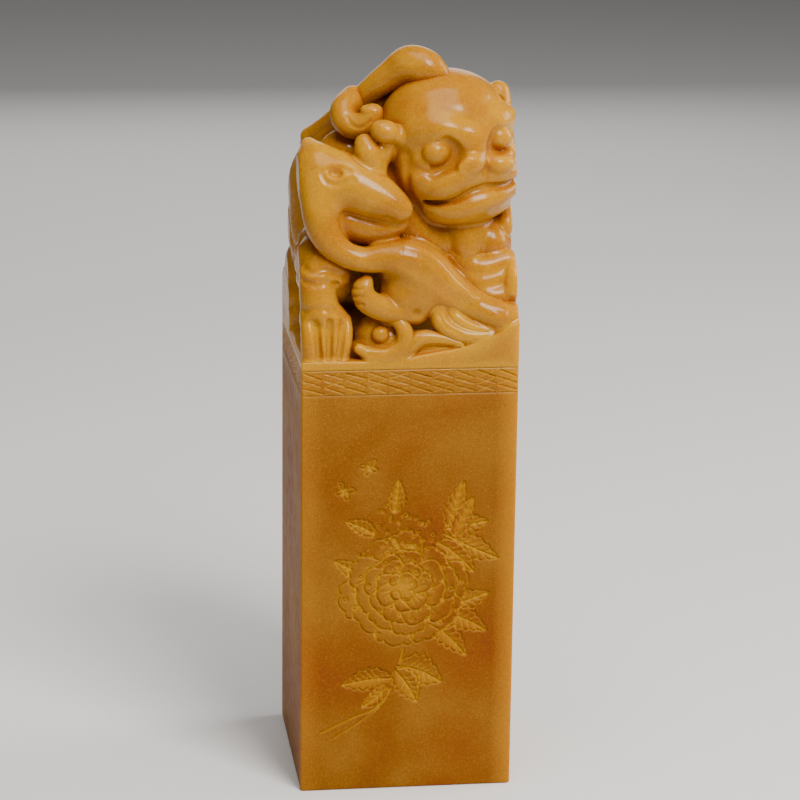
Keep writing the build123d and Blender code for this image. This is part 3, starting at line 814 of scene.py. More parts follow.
# Rows and length of the lozenges; for each way a side of one slopes, its reach and its depth
LOZENGE_ROWS, LOZENGE_LENGTH, ROW_MARGIN = 3, 3.3, 0.25
LOZENGE_SIDES = ((-1, 0.36, 0.26), (1, 0.3, 0.12))
# Width and depth of the strokes
EDGE_LINE, LOZENGE_WIDTH = (0.12, 0.12), 0.12
STEM, TWIG, BEAD = (0.19, 0.32), (0.16, 0.22), (0.12, 0.26)
LEAF_RIB, LEAF_EDGE, LEAF_VEIN = (0.13, 0.32), (0.12, 0.28), (0.11, 0.2)
PETAL_EDGE, PETAL_CREASE = (0.13, 0.3), (0.1, 0.16)
WING_EDGE, WING_VEIN, WING_BODY, FEELER = (0.12, 0.26), (0.1, 0.16), (0.16, 0.3), (0.08, 0.14)


def engrave(depth, s, z, strokes):
    """Cuts strokes into a grid of depths over places s across a face and z up it. Across a stroke the
    cut is a bell curve, less a lip on either side that comes back to the face, plus a wide shallow
    dip. Where strokes meet, the deeper cut holds."""
    for path, width, full in strokes:
        path = np.array(path, float)
        low, high = path.min(0) - 6 * width, path.max(0) + 6 * width
        rows = np.flatnonzero((z >= low[1]) & (z <= high[1]))
        cols = np.flatnonzero((s >= low[0]) & (s <= high[0]))
        if not len(rows) or not len(cols):
            continue
        places = np.stack(np.meshgrid(s[cols], z[rows]), -1)
        away = np.full(places.shape[:-1], FAR)
        for a, b in zip(path[:-1], path[1:]):
            away = np.minimum(away, from_span(places, a, b)[0])
        away = away / width
        lip = LIP_SHARE * np.exp(-((away - LIP_AWAY) ** 2))
        dip = DIP_SHARE * np.exp(-((away / DIP_WIDTH) ** 2))
        window = np.ix_(rows, cols)
        depth[window] = np.maximum(depth[window], full * (np.exp(-(away**2)) - lip + dip))


def noise(seed):
    """A fixed number from 0 to 1 for a seed: what follows the point in a large multiple of a sine."""
    return (np.sin(seed * 12.9898 + 4.1) * 43758.5453) % 1


def lattice():
    """Strokes of the band: rows of crosses of two slanted lines, with flat lozenges left between them.
    Reach, rise and depth vary a little from one line to the next."""
    strokes = []
    rise = (LINE_HIGH - LINE_LOW - 2 * ROW_MARGIN) / LOZENGE_ROWS
    count = int(round(2 * HALF / LOZENGE_LENGTH))
    for row in range(LOZENGE_ROWS):
        z = LINE_LOW + ROW_MARGIN + (row + 0.5) * rise
        for k in range(count):
            middle = -HALF + (k + 0.5) * 2 * HALF / count
            for way, share, depth in LOZENGE_SIDES:
                seed = row * 31.7 + k * 7.3 + way
                reach = LOZENGE_LENGTH * (share + 0.12 * noise(seed))
                lift = way * rise * (0.36 + 0.12 * noise(seed + 2))
                ends = [(middle - reach, z - lift), (middle + reach, z + lift)]
                strokes.append((ends, LOZENGE_WIDTH, depth * (0.5 + 0.7 * noise(seed + 5))))
    return strokes


def square_outline(s_lines):
    """Places round the column's square, and the way out at each: a side's places lie at its own
    distances from its middle, and each corner is a quarter circle of the arris."""
    bend = np.arange(1, ARRIS_PARTS)[:, None] / ARRIS_PARTS * np.pi / 2
    places, ways = [], []
    for side, s in enumerate(s_lines):
        angle = side * np.pi / 2
        out = np.array((np.sin(angle), -np.cos(angle)))
        along = np.array((np.cos(angle), np.sin(angle)))
        corner = out * np.cos(bend) + along * np.sin(bend)
        places += [out * HALF + along * s[:, None], (out + along) * (HALF - ARRIS) + corner * ARRIS]
        ways += [np.tile(out, (len(s), 1)), corner]
    return np.vstack(places), np.vstack(ways)


def ring_faces(rows, count):
    """Faces between the rows of a closed ring, each with its neighbour and the two above, and the
    two flat faces that close its ends."""
    index = np.arange(rows * count).reshape(rows, count)
    after = np.roll(index, -1, 1)
    faces = np.stack([index[:-1], after[:-1], after[1:], index[1:]], -1).reshape(-1, 4)
    return faces.tolist() + [index[0][::-1].tolist(), index[-1].tolist()]


def wall(s_lines, z_lines, cuts):
    """Closed ring of the column's four sides: the outline of the square at each height, moved in by
    the depth there. cuts is a grid of depths for each side, and the arrises have none."""
    outline, way = square_outline(s_lines)
    arris = np.zeros((len(z_lines), ARRIS_PARTS - 1))
    depth = np.hstack([grid for cut in cuts for grid in (cut, arris)])
    level = np.broadcast_to(z_lines[:, None, None], (*depth.shape, 1))
    verts = np.concatenate([outline - way * depth[..., None], level], -1).reshape(-1, 3)
    return verts, ring_faces(*depth.shape), depth.ravel()


def foot_ring(s_line):
    """Foot of the column: a profile of inset and height carried round the square. It runs down the
    side, round the lower edge, under the frame and up to the plate; each inset shrinks the square."""
    bend = np.linspace(0, np.pi / 2, 6)
    ease = 0.1
    inset = np.concatenate([[0.0], ARRIS * (1 - np.cos(bend)), FRAME_WIDTH - np.array((ease, 0, 0))])
    height = np.concatenate([[FOOT_TOP], ARRIS * (1 - np.sin(bend)), [0.0, ease, FACE_RELIEF]])
    outline = square_outline([s_line] * 4)[0]
    share = (HALF - inset[::-1]) / HALF
    level = np.broadcast_to(height[::-1][:, None, None], (len(height), len(outline), 1))
    verts = np.concatenate([share[:, None, None] * outline, level], -1).reshape(-1, 3)
    return verts, ring_faces(len(height), len(outline))


def edge_line(z, level, count):
    """Grid of depths of the level line that a wall ends in: a bell curve of the height."""
    width, depth = EDGE_LINE
    return np.repeat((depth * np.exp(-(((z - level) / width) ** 2)))[:, None], count, 1)


def leaf_width(share):
    """Half width of a leaf along it: a half sine that leans towards the stalk, made fuller."""
    return np.sin(np.pi * share**0.75) ** 0.8


def leaf_strokes(base, tip, width, veins, seed):
    """A pointed leaf between two places: a midrib bowed by a half sine, an edge on either side at the
    leaf's width with every second point drawn in as a tooth, and side veins."""
    base, along = np.array(base), np.array(tip) - np.array(base)
    across = np.array((-along[1], along[0])) / np.linalg.norm(along)
    bow = across * width * 0.25 * (noise(seed) - 0.5)

    def rib(share):
        """Place on the midrib at a share of its length."""
        return base + along * share + bow * np.sin(np.pi * share) * 2

    strokes = [(rib(np.linspace(0, 1, 7)[:, None]), *LEAF_RIB)]
    share = np.linspace(0.02, 1, 13)[:, None]
    tooth = 0.82 + 0.26 * (np.arange(13) % 2)[:, None]
    for side in (-1, 1):
        strokes.append((rib(share) + side * across * width * leaf_width(share) * tooth, *LEAF_EDGE))
        for k in range(veins):
            t = 0.15 + 0.7 * (k + 0.5) / veins
            start = rib(t)
            reach = 0.8 * width * np.sin(np.pi * min(1, t + 0.12) ** 0.75)
            end = start + along * 0.16 + side * across * reach
            strokes.append(([start, (start + end) / 2 + along * 0.02, end], *LEAF_VEIN))
    return strokes


def leaf_hollow(places, base, tip, width):
    """Where a leaf lies, and its hollow: deepest along the midrib, none at the edge."""
    base, along = np.array(base), np.array(tip) - np.array(base)
    length = np.linalg.norm(along)
    share = (places - base) @ along / length**2
    side = np.abs((places - base) @ np.array((-along[1], along[0]))) / length
    edge = width * leaf_width(np.clip(share, 0, 1))
    inside = (share > 0) & (share < 1) & (side < edge)
    return inside, 0.2 * (1 - side / np.maximum(edge, 0.01))


def petal_strokes(centre, angle, near, far, width, waves, seed):
    """A petal that opens away from the flower's centre: its edge goes across as a sine and out as a
    flattened cosine with a ruffle on it, and it has three short creases."""
    centre = np.array(centre)
    way = np.array((np.cos(angle), np.sin(angle)))
    across = np.array((-way[1], way[0]))
    t = np.linspace(-1, 1, 8 * waves + 1)[:, None]
    ruffle = 0.06 * far * np.abs(np.sin(waves * np.pi * (t + 1) / 2)) ** 0.7
    reach = near + (far - near) * np.cos(t * np.pi / 2) ** 0.45 + ruffle
    strokes = [(centre + way * reach + across * width * np.sin(t * np.pi / 2 * 0.98), *PETAL_EDGE)]
    for k in range(3):
        share = (k - 1) * 0.45 + 0.12 * (noise(seed + k) - 0.5)
        a = centre + way * (far * 0.78) + across * width * share
        b = centre + way * (far * 0.5) + across * width * share * 0.55
        strokes.append(([a, b], *PETAL_CREASE))
    return strokes


def petal_hollow(places, centre, angle, near, far, width):
    """Where a petal lies, and its hollow: none at the outer edge, deeper towards the centre."""
    way = np.array((np.cos(angle), np.sin(angle)))
    out = (places - centre) @ way
    side = (places - centre) @ np.array((-way[1], way[0]))
    across = np.arcsin(np.clip(side / width, -1, 1))
    edge = near + (far - near) * np.maximum(np.cos(across), 0) ** 0.45
    inside = (np.abs(side) < width) & (out > 0) & (out < edge)
    return inside, 0.3 * np.clip(1 - out / edge, 0, 1) ** 0.7


def butterfly_strokes(middle, size, tilt):
    """A small butterfly: a body, and on either side two smooth wing loops with a vein, and a feeler."""
    middle = np.array(middle)
    along = np.array((np.sin(tilt), np.cos(tilt)))
    across = np.array((along[1], -along[0]))
    strokes = [([middle - 0.5 * size * along, middle + 0.4 * size * along], *WING_BODY)]
    for side in (-1, 1):
        for lift, reach in ((0.55, 1.0), (-0.5, 0.75)):
            tip = side * across * reach * size + along * lift * size
            bend = along * np.sign(lift) * 0.42 * size
            wing = [middle, middle + 0.5 * tip + bend, middle + tip, middle + 0.6 * tip - 0.5 * bend, middle]
            strokes.append((smooth(wing), *WING_EDGE))
            strokes.append(([middle + 0.3 * tip, middle + 0.75 * tip], *WING_VEIN))
        feeler = [middle + 0.4 * size * along, middle + size * (0.8 * along + 0.3 * side * across)]
        strokes.append((feeler, *FEELER))
    return strokes


def bead(x, z, size):
    """A small ring: a circle of eight points."""
    turning = np.linspace(0, 2 * np.pi, 9)
    return np.stack([x + size * np.cos(turning), z + size * np.sin(turning)], 1), *BEAD


def peony():
    """A generic peony spray in layers from the lowest up, each a hollow with its values and its
    strokes: two stems, leaves, rings of petals that get smaller, then beads and butterflies."""
    stem = smooth([(-0.6, 23.0), (-1.4, 19.4), (-2.4, 16.6), (-4.4, 13.6), (-8.2, 12.0), (-13.4, 9.6)])
    twig = smooth([(-4.2, 13.4), (-7.0, 11.4), (-11.4, 8.6)])
    layers = [(None, (), [(stem, *STEM), (twig, *TWIG)])]
    # Stalk end, tip, half width and pairs of side veins
    leaves = (
        ((5.4, 41.5), (13.9, 37.3), 2.1, 6), ((5.6, 42.2), (12.2, 43.4), 1.9, 5),
        ((6.2, 42.5), (8.4, 49.8), 1.5, 5), ((7.2, 41.0), (9.9, 47.2), 1.4, 4),
        ((4.6, 40.2), (10.2, 35.2), 1.7, 5), ((6.0, 29.5), (12.6, 31.8), 1.7, 5),
        ((5.6, 28.6), (12.3, 25.6), 1.8, 5), ((3.6, 27.2), (9.2, 21.6), 1.7, 5),
        ((-1.6, 20.2), (5.4, 17.4), 2.6, 6), ((-1.8, 19.6), (1.6, 14.2), 1.9, 5),
        ((-2.4, 18.2), (-10.1, 17.3), 1.9, 6), ((-3.0, 17.0), (-7.0, 13.6), 1.3, 4),
        ((-7.2, 34.6), (-11.4, 37.6), 1.2, 4), ((-5.2, 41.6), (-9.6, 43.8), 1.2, 4),
        ((-2.2, 45.0), (-1.6, 50.2), 1.2, 4),
    )
    for k, (base, tip, width, veins) in enumerate(leaves):
        layers.append((leaf_hollow, (base, tip, width), leaf_strokes(base, tip, width, veins, k * 5.3)))
    # Inner and outer reach of a ring's petals, their half width, their number and the waves of each
    heart = (-0.6, 33.2)
    rings = (
        (6.8, 10.2, 3.1, 10, 3), (5.0, 8.2, 2.7, 9, 3), (3.2, 6.2, 2.3, 8, 2), (1.6, 4.2, 1.7, 7, 2),
        (0.6, 2.4, 1.1, 5, 1),
    )
    for ring, (near, far, width, count, waves) in enumerate(rings):
        for k in range(count):
            seed = ring * 17 + k * 3.1
            angle = 2 * np.pi * (k + 0.4 * noise(seed)) / count + ring * 0.6
            reach = far * (0.86 + 0.2 * noise(seed + 1))
            # The outermost ring is open at the top
            if ring or np.sin(angle) <= 0.45:
                strokes = petal_strokes(heart, angle, near, reach, width, waves, seed)
                layers.append((petal_hollow, (heart, angle, near, reach, width), strokes))
    # Beads that wind out evenly from the heart, beads strewn over the top, and two butterflies
    top = []
    for k in range(64):
        reach = 1.0 + 8.6 * np.sqrt((k + 0.5) / 64)
        x, z = heart[0] + reach * np.cos(2.4 * k), heart[1] + 0.9 * reach * np.sin(2.4 * k)
        if noise(k * 1.3) > 0.45:
            top.append(bead(x, z, 0.22 + 0.16 * noise(k)))
    for k in range(40):
        t = k / 39
        x = -4.6 + 8.0 * t + 1.1 * np.sin(k * 2.1)
        z = 43.0 - 1.8 * t + 3.4 * np.sin(k * 1.7) * (1 - t * 0.4)
        top.append(bead(x, z, 0.2 + 0.12 * noise(k + 9)))
    top += butterfly_strokes((-9.9, 48.6), 1.5, 0.5) + butterfly_strokes((-6.1, 52.2), 1.4, -0.4)
    layers.append((None, (), top))
    return layers


def peony_depth(s, z):
    """Grid of depths of the whole engraving: where a layer has a hollow, it takes the place of what
    lies under it, and its strokes are cut on top."""
    places = np.stack(np.meshgrid(s, z), -1)
    dish, lines = np.zeros(places.shape[:2]), np.zeros(places.shape[:2])
    for hollow, values, strokes in peony():
        if hollow:
            inside, deep = hollow(places, *values)
            dish = np.where(inside, deep, dish)
            lines = np.where(inside, 0, lines)
        engrave(lines, s, z, strokes)
    return dish + lines


def column_parts():
    """The foot, the column's wall up to the lower band line, and the band from there to its upper
    line. The grids are fine where the stone is engraved, and at the level lines."""
    reach = HALF - ARRIS
    beside = FIELD_SIDE + 1.2
    coarse = np.linspace(-reach, reach, 9)
    field = np.arange(-FIELD_SIDE, FIELD_SIDE + 2.5 * FIELD_STEP, FIELD_STEP)
    front = np.concatenate([[-reach, -beside], field, [beside, reach]])
    s_lines = [front, coarse, coarse, coarse]
    z = np.concatenate([
        np.linspace(FOOT_TOP, FIELD_LOW - 0.3, 5), np.arange(FIELD_LOW, FIELD_HIGH, FIELD_STEP),
        np.linspace(FIELD_HIGH + 0.6, LINE_LOW - 0.6, 6), LINE_LOW - np.array((0.35, 0.22, 0.12, 0.05, 0)),
    ])
    cuts = [edge_line(z, LINE_LOW, len(s)) for s in s_lines]
    cuts[0] += peony_depth(front, z)
    lower = wall(s_lines, z, cuts)
    s = np.linspace(-reach, reach, 271)
    z = np.concatenate([
        LINE_LOW + np.array((0, 0.06)), np.arange(LINE_LOW + 0.14, LINE_HIGH - 0.1, 0.1),
        LINE_HIGH - np.array((0.06, 0.0)),
    ])
    cut = edge_line(z, LINE_LOW, len(s)) + edge_line(z, LINE_HIGH, len(s))
    engrave(cut, s, z, lattice())
    return foot_ring(coarse), lower, wall([s] * 4, z, [cut] * 4)


# Materials

# Colours of the stone, as linear red, green, blue and alpha
AMBER = (0.200, 0.063, 0.0050, 1)
YELLOW = (0.250, 0.100, 0.0070, 1)
ORANGE = (0.195, 0.037, 0.0040, 1)
ARRIS_LIGHT = (0.47, 0.190, 0.0060, 1)
KNOB_TINT = (0.44, 0.180, 0.0010, 1)
KNOB_LIGHT = (0.53, 0.262, 0.0040, 1)
KNOB_WARM = (0.34, 0.092, 0.0006, 1)
# Painted highlight: a pale colour laid on thin ridges of the knob and on the engraved strokes
RIDGE_HIGHLIGHT = (0.600, 0.295, 0.0060, 1)
# Painted shade: deep orange laid into the knob's hollows and creases
CREVICE_SHADE = (0.310, 0.062, 0.0006, 1)
GRAIN = (0.70, 0.36, 0.02, 1)
# Orange spots on the column: a middle and a radius, and how far past it the orange fades out
SPOTS = (((-15, -17, 19), 8), ((6.5, -17, 42), 6), ((11, -17, 21), 8), ((8, -17, 6), 6))
SPOT_FADE = 7
# Settings that are the same all over the stone
STONE_SETTINGS = {
    "Subsurface Weight": 0.32,
    "Subsurface Radius": (1.0, 0.38, 0.08),
    "Subsurface Scale": 0.0022,
    "IOR": 1.48,
    "Specular IOR Level": 0.08,
    "Coat Roughness": 0.14,
}


def feed(tree, target, given):
    """Links a socket to an input, or sets the input's own value."""
    if isinstance(given, bpy.types.NodeSocket):
        tree.links.new(given, target)
    else:
        target.default_value = given


def mix_colour(tree, share, first, second):
    """A colour mix node: the first colour, and the second by the share."""
    node = tree.nodes.new("ShaderNodeMix")
    node.data_type = "RGBA"
    for index, given in ((0, share), (6, first), (7, second)):
        feed(tree, node.inputs[index], given)
    return node.outputs[2]


def math_of(tree, kind, *given):
    """One sum on sockets or values."""
    node = tree.nodes.new("ShaderNodeMath")
    node.operation = kind
    for target, value in zip(node.inputs, given):
        feed(tree, target, value)
    return node.outputs[0]


def fraction(tree, given, low, high, out_low=0.0, out_high=1.0):
    """Maps a value evenly from one range to another, and holds it there."""
    node = tree.nodes.new("ShaderNodeMapRange")
    tree.links.new(given, node.inputs["Value"])
    for name, value in (("From Min", low), ("From Max", high), ("To Min", out_low), ("To Max", out_high)):
        node.inputs[name].default_value = value
    return node.outputs[0]


def noise_of(tree, place, scale, detail, rough, twist=0.0):
    """A noise texture's value; the scale is in lumps to the metre."""
    node = tree.nodes.new("ShaderNodeTexNoise")
    for name, value in (("Scale", scale), ("Detail", detail), ("Roughness", rough), ("Distortion", twist)):
        node.inputs[name].default_value = value
    tree.links.new(place, node.inputs["Vector"])
    return node.outputs["Fac"]


def clouded(group, place):
    """Ground colour: amber with yellow clouds, and orange in patches and round the spots, where it
    fades with the distance from a spot's middle plus a drift of noise."""
    clouds = fraction(group, noise_of(group, place, 60, 3, 0.5, 0.4), 0.42, 0.62)
    patches = fraction(group, noise_of(group, place, 38, 2, 0.45, 0.6), 0.55, 0.75)
    drift = math_of(group, "MULTIPLY", noise_of(group, place, 120, 3, 0.55), 9 * MM)
    for middle, radius in SPOTS:
        apart = group.nodes.new("ShaderNodeVectorMath")
        apart.operation = "DISTANCE"
        group.links.new(place, apart.inputs[0])
        apart.inputs[1].default_value = [v * MM for v in middle]
        reach = math_of(group, "ADD", apart.outputs["Value"], drift)
        near = fraction(group, reach, 0.6 * radius * MM, (radius + SPOT_FADE) * MM, 0.9, 0.0)
        patches = math_of(group, "MAXIMUM", patches, near)
    colour = mix_colour(group, clouds, AMBER, YELLOW)
    return mix_colour(group, math_of(group, "MULTIPLY", patches, 0.8), colour, ORANGE)


def lit_arrises(group, x, y, colour):
    """Yellow light in the column's corners: it grows with the smaller of the distances from the two
    middle planes, and is stronger on the right."""
    nearest = math_of(group, "MINIMUM", math_of(group, "ABSOLUTE", x), math_of(group, "ABSOLUTE", y))
    glow = fraction(group, nearest, HALF * MM * 0.80, HALF * MM, 0.0, 0.85)
    glow = math_of(group, "MULTIPLY", glow, fraction(group, x, -2 * MM, 2 * MM, 0.45, 1.0))
    return mix_colour(group, glow, colour, ARRIS_LIGHT)


def knob_colour(group, place, polish, colour):
    """The knob's brighter stone: a tint, then light and warm clouds, each by the share of polish."""
    light = fraction(group, noise_of(group, place, 95, 3, 0.5, 0.3), 0.48, 0.66, 0.0, 0.5)
    warm = fraction(group, noise_of(group, place, 120, 3, 0.5, 0.6), 0.54, 0.70, 0.0, 0.45)
    for share, tint in ((0.6, KNOB_TINT), (light, KNOB_LIGHT), (warm, KNOB_WARM)):
        colour = mix_colour(group, math_of(group, "MULTIPLY", polish, share), colour, tint)
    return colour


def grain_dots(group, place):
    """Share of the pale grains: a dot in the middle of each cell of a random net, in some cells."""
    cells = group.nodes.new("ShaderNodeTexVoronoi")
    cells.inputs["Scale"].default_value = 4400
    group.links.new(place, cells.inputs["Vector"])
    dots = fraction(group, cells.outputs["Distance"], 0.15, 0.5, 1.0, 0.0)
    chance = group.nodes.new("ShaderNodeSeparateColor")
    group.links.new(cells.outputs["Color"], chance.inputs[0])
    return math_of(group, "MULTIPLY", dots, fraction(group, chance.outputs[0], 0.2, 0.9))


def stone_colour_group():
    """Amber stone: cloudy yellow to orange patches, light in the arrises, a brighter knob, ridges and
    engraved strokes paled with a painted highlight, hollows darkened deep orange with painted shade
    and fine pale grains, one mixed over another by its share, and the whole scaled by a fine noise."""
    group = bpy.data.node_groups.new("amber_stone", "ShaderNodeTree")
    group.interface.new_socket("Place", in_out="INPUT", socket_type="NodeSocketVector")
    for name in ("CreviceShade", "Ridge"):
        group.interface.new_socket(name, in_out="INPUT", socket_type="NodeSocketFloat")
    group.interface.new_socket("Colour", in_out="OUTPUT", socket_type="NodeSocketColor")
    for name in ("Grain", "Polish"):
        group.interface.new_socket(name, in_out="OUTPUT", socket_type="NodeSocketFloat")
    given = group.nodes.new("NodeGroupInput")
    out = group.nodes.new("NodeGroupOutput")
    place = given.outputs["Place"]
    axes = group.nodes.new("ShaderNodeSeparateXYZ")
    group.links.new(place, axes.inputs[0])
    # The wax polish comes in over the top of the band
    polish = fraction(group, axes.outputs[2], BAND_TOP * MM - 0.008, BAND_TOP * MM + 0.004)
    colour = lit_arrises(group, axes.outputs[0], axes.outputs[1], clouded(group, place))
    colour = knob_colour(group, place, polish, colour)
    # Painted highlight: the ridge attribute pales thin ridges and engraved strokes
    ridge = fraction(group, given.outputs["Ridge"], 0.1, 0.8, 0.0, 0.7)
    colour = mix_colour(group, ridge, colour, RIDGE_HIGHLIGHT)
    # Painted shade: hollows are darkened toward deep orange
    crevice_shade = fraction(group, given.outputs["CreviceShade"], 0.15, 0.8, 0.0, 0.75)
    colour = mix_colour(group, crevice_shade, colour, CREVICE_SHADE)
    dots = grain_dots(group, place)
    share = math_of(group, "MULTIPLY", dots, fraction(group, polish, 0.0, 1.0, 0.22, 0.38))
    colour = mix_colour(group, share, colour, GRAIN)
    shade = group.nodes.new("ShaderNodeVectorMath")
    shade.operation = "SCALE"
    group.links.new(colour, shade.inputs[0])
    fine = fraction(group, noise_of(group, place, 2600, 2, 0.6), 0.35, 0.7, 0.9, 1.1)
    group.links.new(fine, shade.inputs["Scale"])
    for name, made in (("Colour", shade.outputs[0]), ("Grain", dots), ("Polish", polish)):
        group.links.new(made, out.inputs[name])
    return group


def stone_material(group):
    """Waxed amber stone: the shared colour, a slight bump of noise and grains, a gloss that grows with
    the polish, and a glow under the skin."""
    mat = bpy.data.materials.new("amber_stone")
    mat.use_nodes = True
    tree = mat.node_tree
    shader = tree.nodes["Principled BSDF"]
    place = tree.nodes.new("ShaderNodeTexCoord").outputs["Object"]
    stone_colour = tree.nodes.new("ShaderNodeGroup")
    stone_colour.node_tree = group
    tree.links.new(place, stone_colour.inputs["Place"])
    # These attributes carry painted shade in hollows and a painted highlight on ridges and strokes
    for name, target in (("crevice_shade", "CreviceShade"), ("ridge", "Ridge")):
        read = tree.nodes.new("ShaderNodeAttribute")
        read.attribute_name = name
        tree.links.new(read.outputs["Fac"], stone_colour.inputs[target])
    colour, grain, polish = (stone_colour.outputs[name] for name in ("Colour", "Grain", "Polish"))
    tree.links.new(colour, shader.inputs["Base Color"])
    rough = fraction(tree, noise_of(tree, place, 420, 4, 0.6), 0.3, 0.75, 0.42, 0.60)
    rough = math_of(tree, "SUBTRACT", rough, math_of(tree, "MULTIPLY", polish, 0.24))
    tree.links.new(rough, shader.inputs["Roughness"])
    tree.links.new(math_of(tree, "MULTIPLY", polish, 0.26), shader.inputs["Coat Weight"])
    bump = tree.nodes.new("ShaderNodeBump")
    bump.inputs["Strength"].default_value = 0.25
    bump.inputs["Distance"].default_value = 0.00012
    hill = math_of(tree, "ADD", noise_of(tree, place, 900, 3, 0.55), math_of(tree, "MULTIPLY", grain, 0.35))
    tree.links.new(hill, bump.inputs["Height"])
    tree.links.new(bump.outputs["Normal"], shader.inputs["Normal"])
    for name, value in STONE_SETTINGS.items():
        shader.inputs[name].default_value = value
    return mat


stone = stone_material(stone_colour_group())


# Making the pieces

# Angle from which an edge of a square piece stays crisp
CRISP_ANGLE = np.radians(80)


def place_piece(name, verts, faces, nodes, crevice_shade=None, ridge=None, square=False):
    """Makes a mesh from millimetres, smooth and closed, that rides on the frame and stands for its
    nodes; a square piece keeps its right angles crisp."""
    mesh = bpy.data.meshes.new(name)
    mesh.from_pydata((verts * MM).tolist(), [], faces)
    mesh.update()
    mesh.shade_smooth()
    if square:
        mesh.set_sharp_from_angle(angle=CRISP_ANGLE)
    # The crevice attribute holds painted shade, the ridge attribute a painted highlight
    for label, given in (("crevice_shade", crevice_shade), ("ridge", ridge)):
        layer = mesh.attributes.new(label, "FLOAT", "POINT")
        if given is not None:
            layer.data.foreach_set("value", given.astype(np.float32))
    mesh.materials.append(stone)
    piece = bpy.data.objects.new(name, mesh)
    bpy.context.scene.collection.objects.link(piece)
    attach(piece, "root")
    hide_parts(*nodes)


HEAD_NODES = (
    "lion_head", "lion_cheeks", "muzzle", "lower_jaw", "brows", "eyes", "nose", "nose_bridge", "ear",
)
CARVED = (
    ("ground", rock, ("rock_base",)),
    ("body", body, ("lion_torso", "lion_rump", "lion_shoulders", "lion_chest", "near_shoulder")),
    ("hind_leg", near_hind_leg, ("near_thigh", "near_shin", "near_hind_paw")),
    ("foreleg", near_foreleg, ("near_forearm", "near_forepaw")),
    ("back_legs", far_legs, ("far_haunch", "far_hind_paw", "far_foreleg", "far_forepaw")),
    ("head", head, HEAD_NODES),
    ("mane_locks", mane, ("mane",)),
    ("tail", tail, ("lion_tail",)),
    ("tuft", tuft, ("tail_tuft",)),
    ("cub_crest", cub_crest, ("cub_horns",)),
    ("cub", cub, ("cub_head", "cub_neck", "cub_body", "cub_hind_leg", "cub_forepaw")),
    ("cub_hook", cub_tail, ("cub_tail",)),
    ("curl", cloud_curl, ("cloud_curl",)),
    ("wave", cloud_wave, ("cloud_wave",)),
    ("ball", pearl, ("pearl",)),
)
# Which pieces run softly into which, and over what width
JOINS = (
    ("hind_leg", "body", 1.2), ("hind_leg", "ground", 0.6), ("back_legs", "body", 1.0),
    ("back_legs", "ground", 0.5), ("head", "body", 0.9), ("mane_locks", "head", 0.5),
    ("mane_locks", "body", 0.6), ("tail", "body", 1.0), ("tuft", "body", 0.4), ("foreleg", "body", 0.6),
    ("foreleg", "ground", 0.6), ("cub", "body", 0.9), ("cub", "ground", 0.8), ("cub", "foreleg", 0.5),
    ("cub_crest", "cub", 0.8), ("cub_crest", "head", 0.6), ("cub_hook", "ground", 0.4),
    ("cub_hook", "cub", 0.5), ("curl", "ground", 0.5), ("wave", "ground", 0.5), ("ball", "ground", 0.3),
)
# How far from the surface the stone is looked for, to tell a hollow and a thin ridge
LOOK_REACHES = (0.7, 1.4, 2.8)
# Share of painted highlight for a millimetre of depth on the engraved walls: the strokes are painted pale
COLUMN_HIGHLIGHT, BAND_HIGHLIGHT = 1.9, 3.4

blocks = {name: make() for name, make, nodes in CARVED}
for name, other, width in JOINS:
    blocks[name].fill(blocks[other], width)

# One field of the whole knob on its column, from which each piece learns where it is hollow, which is given
# painted shade, or thin, which is given a painted highlight
whole = Clay((-19, -19, 62), (19, 19, 118), 0.4)
every = whole.points(whole.everywhere())
for clay in blocks.values():
    part = whole.window(clay.low, clay.high)
    whole.value[part] = np.minimum(whole.value[part], clay.at(every[part], FAR))
whole.add(slab((0, 0, 30), (HALF, HALF, 38), ARRIS), 0)

for name, make, nodes in CARVED:
    verts, faces = skin(blocks[name])
    outward = blocks[name].outward(verts, 0)
    # Painted shade goes into hollows and a painted highlight onto thin ridges
    hollow = np.zeros(len(verts))
    thin_highlight = np.zeros(len(verts))
    for reach in LOOK_REACHES:
        hollow += np.clip(1 - whole.at(verts + outward * reach, FAR) / reach, 0, 1) / len(LOOK_REACHES)
        thin_highlight += np.clip(1 + whole.at(verts - outward * reach, -FAR) / reach, 0, 1) / len(LOOK_REACHES)
    place_piece(name, verts, faces.tolist(), nodes, hollow, thin_highlight)

foot, lower, upper = column_parts()
# The engraved depth paints the strokes of the column and band pale, a painted highlight
for name, node, (verts, faces, depth), highlight_share in (
    ("column", "shaft_block", lower, COLUMN_HIGHLIGHT),
    ("band", "lattice_band", upper, BAND_HIGHLIGHT),
):
    place_piece(name, verts, faces, (node,), ridge=np.clip(depth * highlight_share, 0, 1), square=True)
verts, faces = foot
bar_verts, bar_faces = skin(fret())
faces += (bar_faces + len(verts)).tolist()
place_piece("foot", np.vstack([verts, bar_verts]), faces, ("seal_face",), square=True)


# Floor, light and camera, in metres


def area_light(name, at, aim_height, size, power, colour=(1, 1, 1)):
    """A rectangular studio light that points at a height on the stone's middle line."""
    data = bpy.data.lights.new(name, "AREA")
    data.shape = "RECTANGLE"
    data.size, data.size_y = size
    data.energy = power
    data.color = colour
    lamp = bpy.data.objects.new(name, data)
    lamp.location = at
    lamp.rotation_euler = (Vector((0, 0, aim_height)) - Vector(at)).to_track_quat("-Z", "Y").to_euler()
    bpy.context.scene.collection.objects.link(lamp)


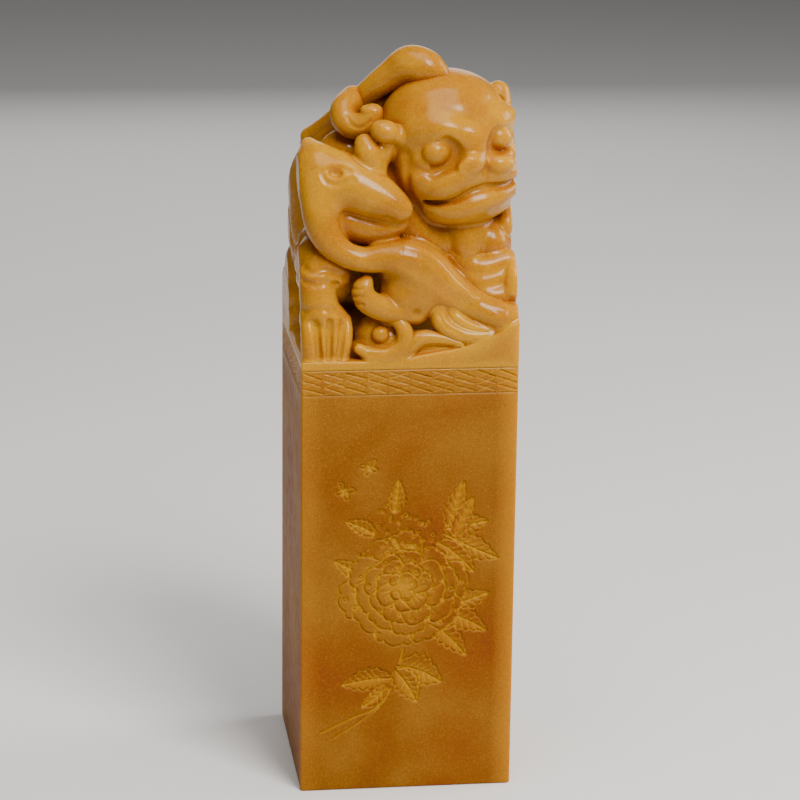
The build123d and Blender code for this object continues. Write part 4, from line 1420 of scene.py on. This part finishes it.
def studio_floor(reach):
    """A plain pale floor: one square face, under the stone."""
    mesh = bpy.data.meshes.new("floor")
    corners = [(-reach, -reach, 0), (reach, -reach, 0), (reach, reach, 0), (-reach, reach, 0)]
    mesh.from_pydata(corners, [], [(0, 1, 2, 3)])
    paint = bpy.data.materials.new("floor")
    paint.use_nodes = True
    shader = paint.node_tree.nodes["Principled BSDF"]
    shader.inputs["Base Color"].default_value = (0.74, 0.73, 0.715, 1)
    shader.inputs["Roughness"].default_value = 0.75
    mesh.materials.append(paint)
    floor = bpy.data.objects.new("floor", mesh)
    bpy.context.scene.collection.objects.link(floor)


studio_floor(3)
world = bpy.data.worlds.new("studio")
world.use_nodes = True
world.node_tree.nodes["Background"].inputs["Color"].default_value = (0.86, 0.87, 0.9, 1)
world.node_tree.nodes["Background"].inputs["Strength"].default_value = 0.12
bpy.context.scene.world = world

WARM_WHITE = (1.0, 0.97, 0.92)
area_light("key", (0.18, -0.42, 0.52), 0.07, (0.26, 0.26), 5.8, WARM_WHITE)
area_light("top", (0.0, -0.12, 0.5), 0.09, (0.3, 0.3), 1.5, WARM_WHITE)
area_light("rim", (0.5, 0.1, 0.25), 0.06, (0.25, 0.35), 2.0)
area_light("fill", (-0.5, -0.35, 0.3), 0.06, (0.4, 0.4), 0.3)
area_light("back", (0.0, 0.6, 0.3), 0.06, (0.5, 0.4), 0.9)

# Camera solved from the column's corners in the photograph: its place, its angles in radians, and
# its focal length and the photograph's width in pixels
EYE = np.array((-54.748, -413.971, 170.097)) * MM
YAW, PITCH, ROLL = 0.132941, 0.261371, 0.0117448
FOCAL_PX, PHOTO_PX = 2755.18, 800
SENSOR = 36.0
ahead = np.array((np.sin(YAW) * np.cos(PITCH), np.cos(YAW) * np.cos(PITCH), -np.sin(PITCH)))
level = np.array((np.cos(YAW), -np.sin(YAW), 0.0))
upright = np.cross(level, ahead)
right = level * np.cos(ROLL) + upright * np.sin(ROLL)
up = -level * np.sin(ROLL) + upright * np.cos(ROLL)
camera_data = bpy.data.cameras.new("camera")
camera_data.sensor_width = SENSOR
camera_data.lens = FOCAL_PX * SENSOR / PHOTO_PX
camera_data.clip_start = 0.01
camera = bpy.data.objects.new("camera", camera_data)
camera.matrix_world = Matrix([[right[i], up[i], -ahead[i], EYE[i]] for i in range(3)] + [[0, 0, 0, 1]])
bpy.context.scene.collection.objects.link(camera)
bpy.context.scene.camera = camera

bpy.context.view_layer.update()
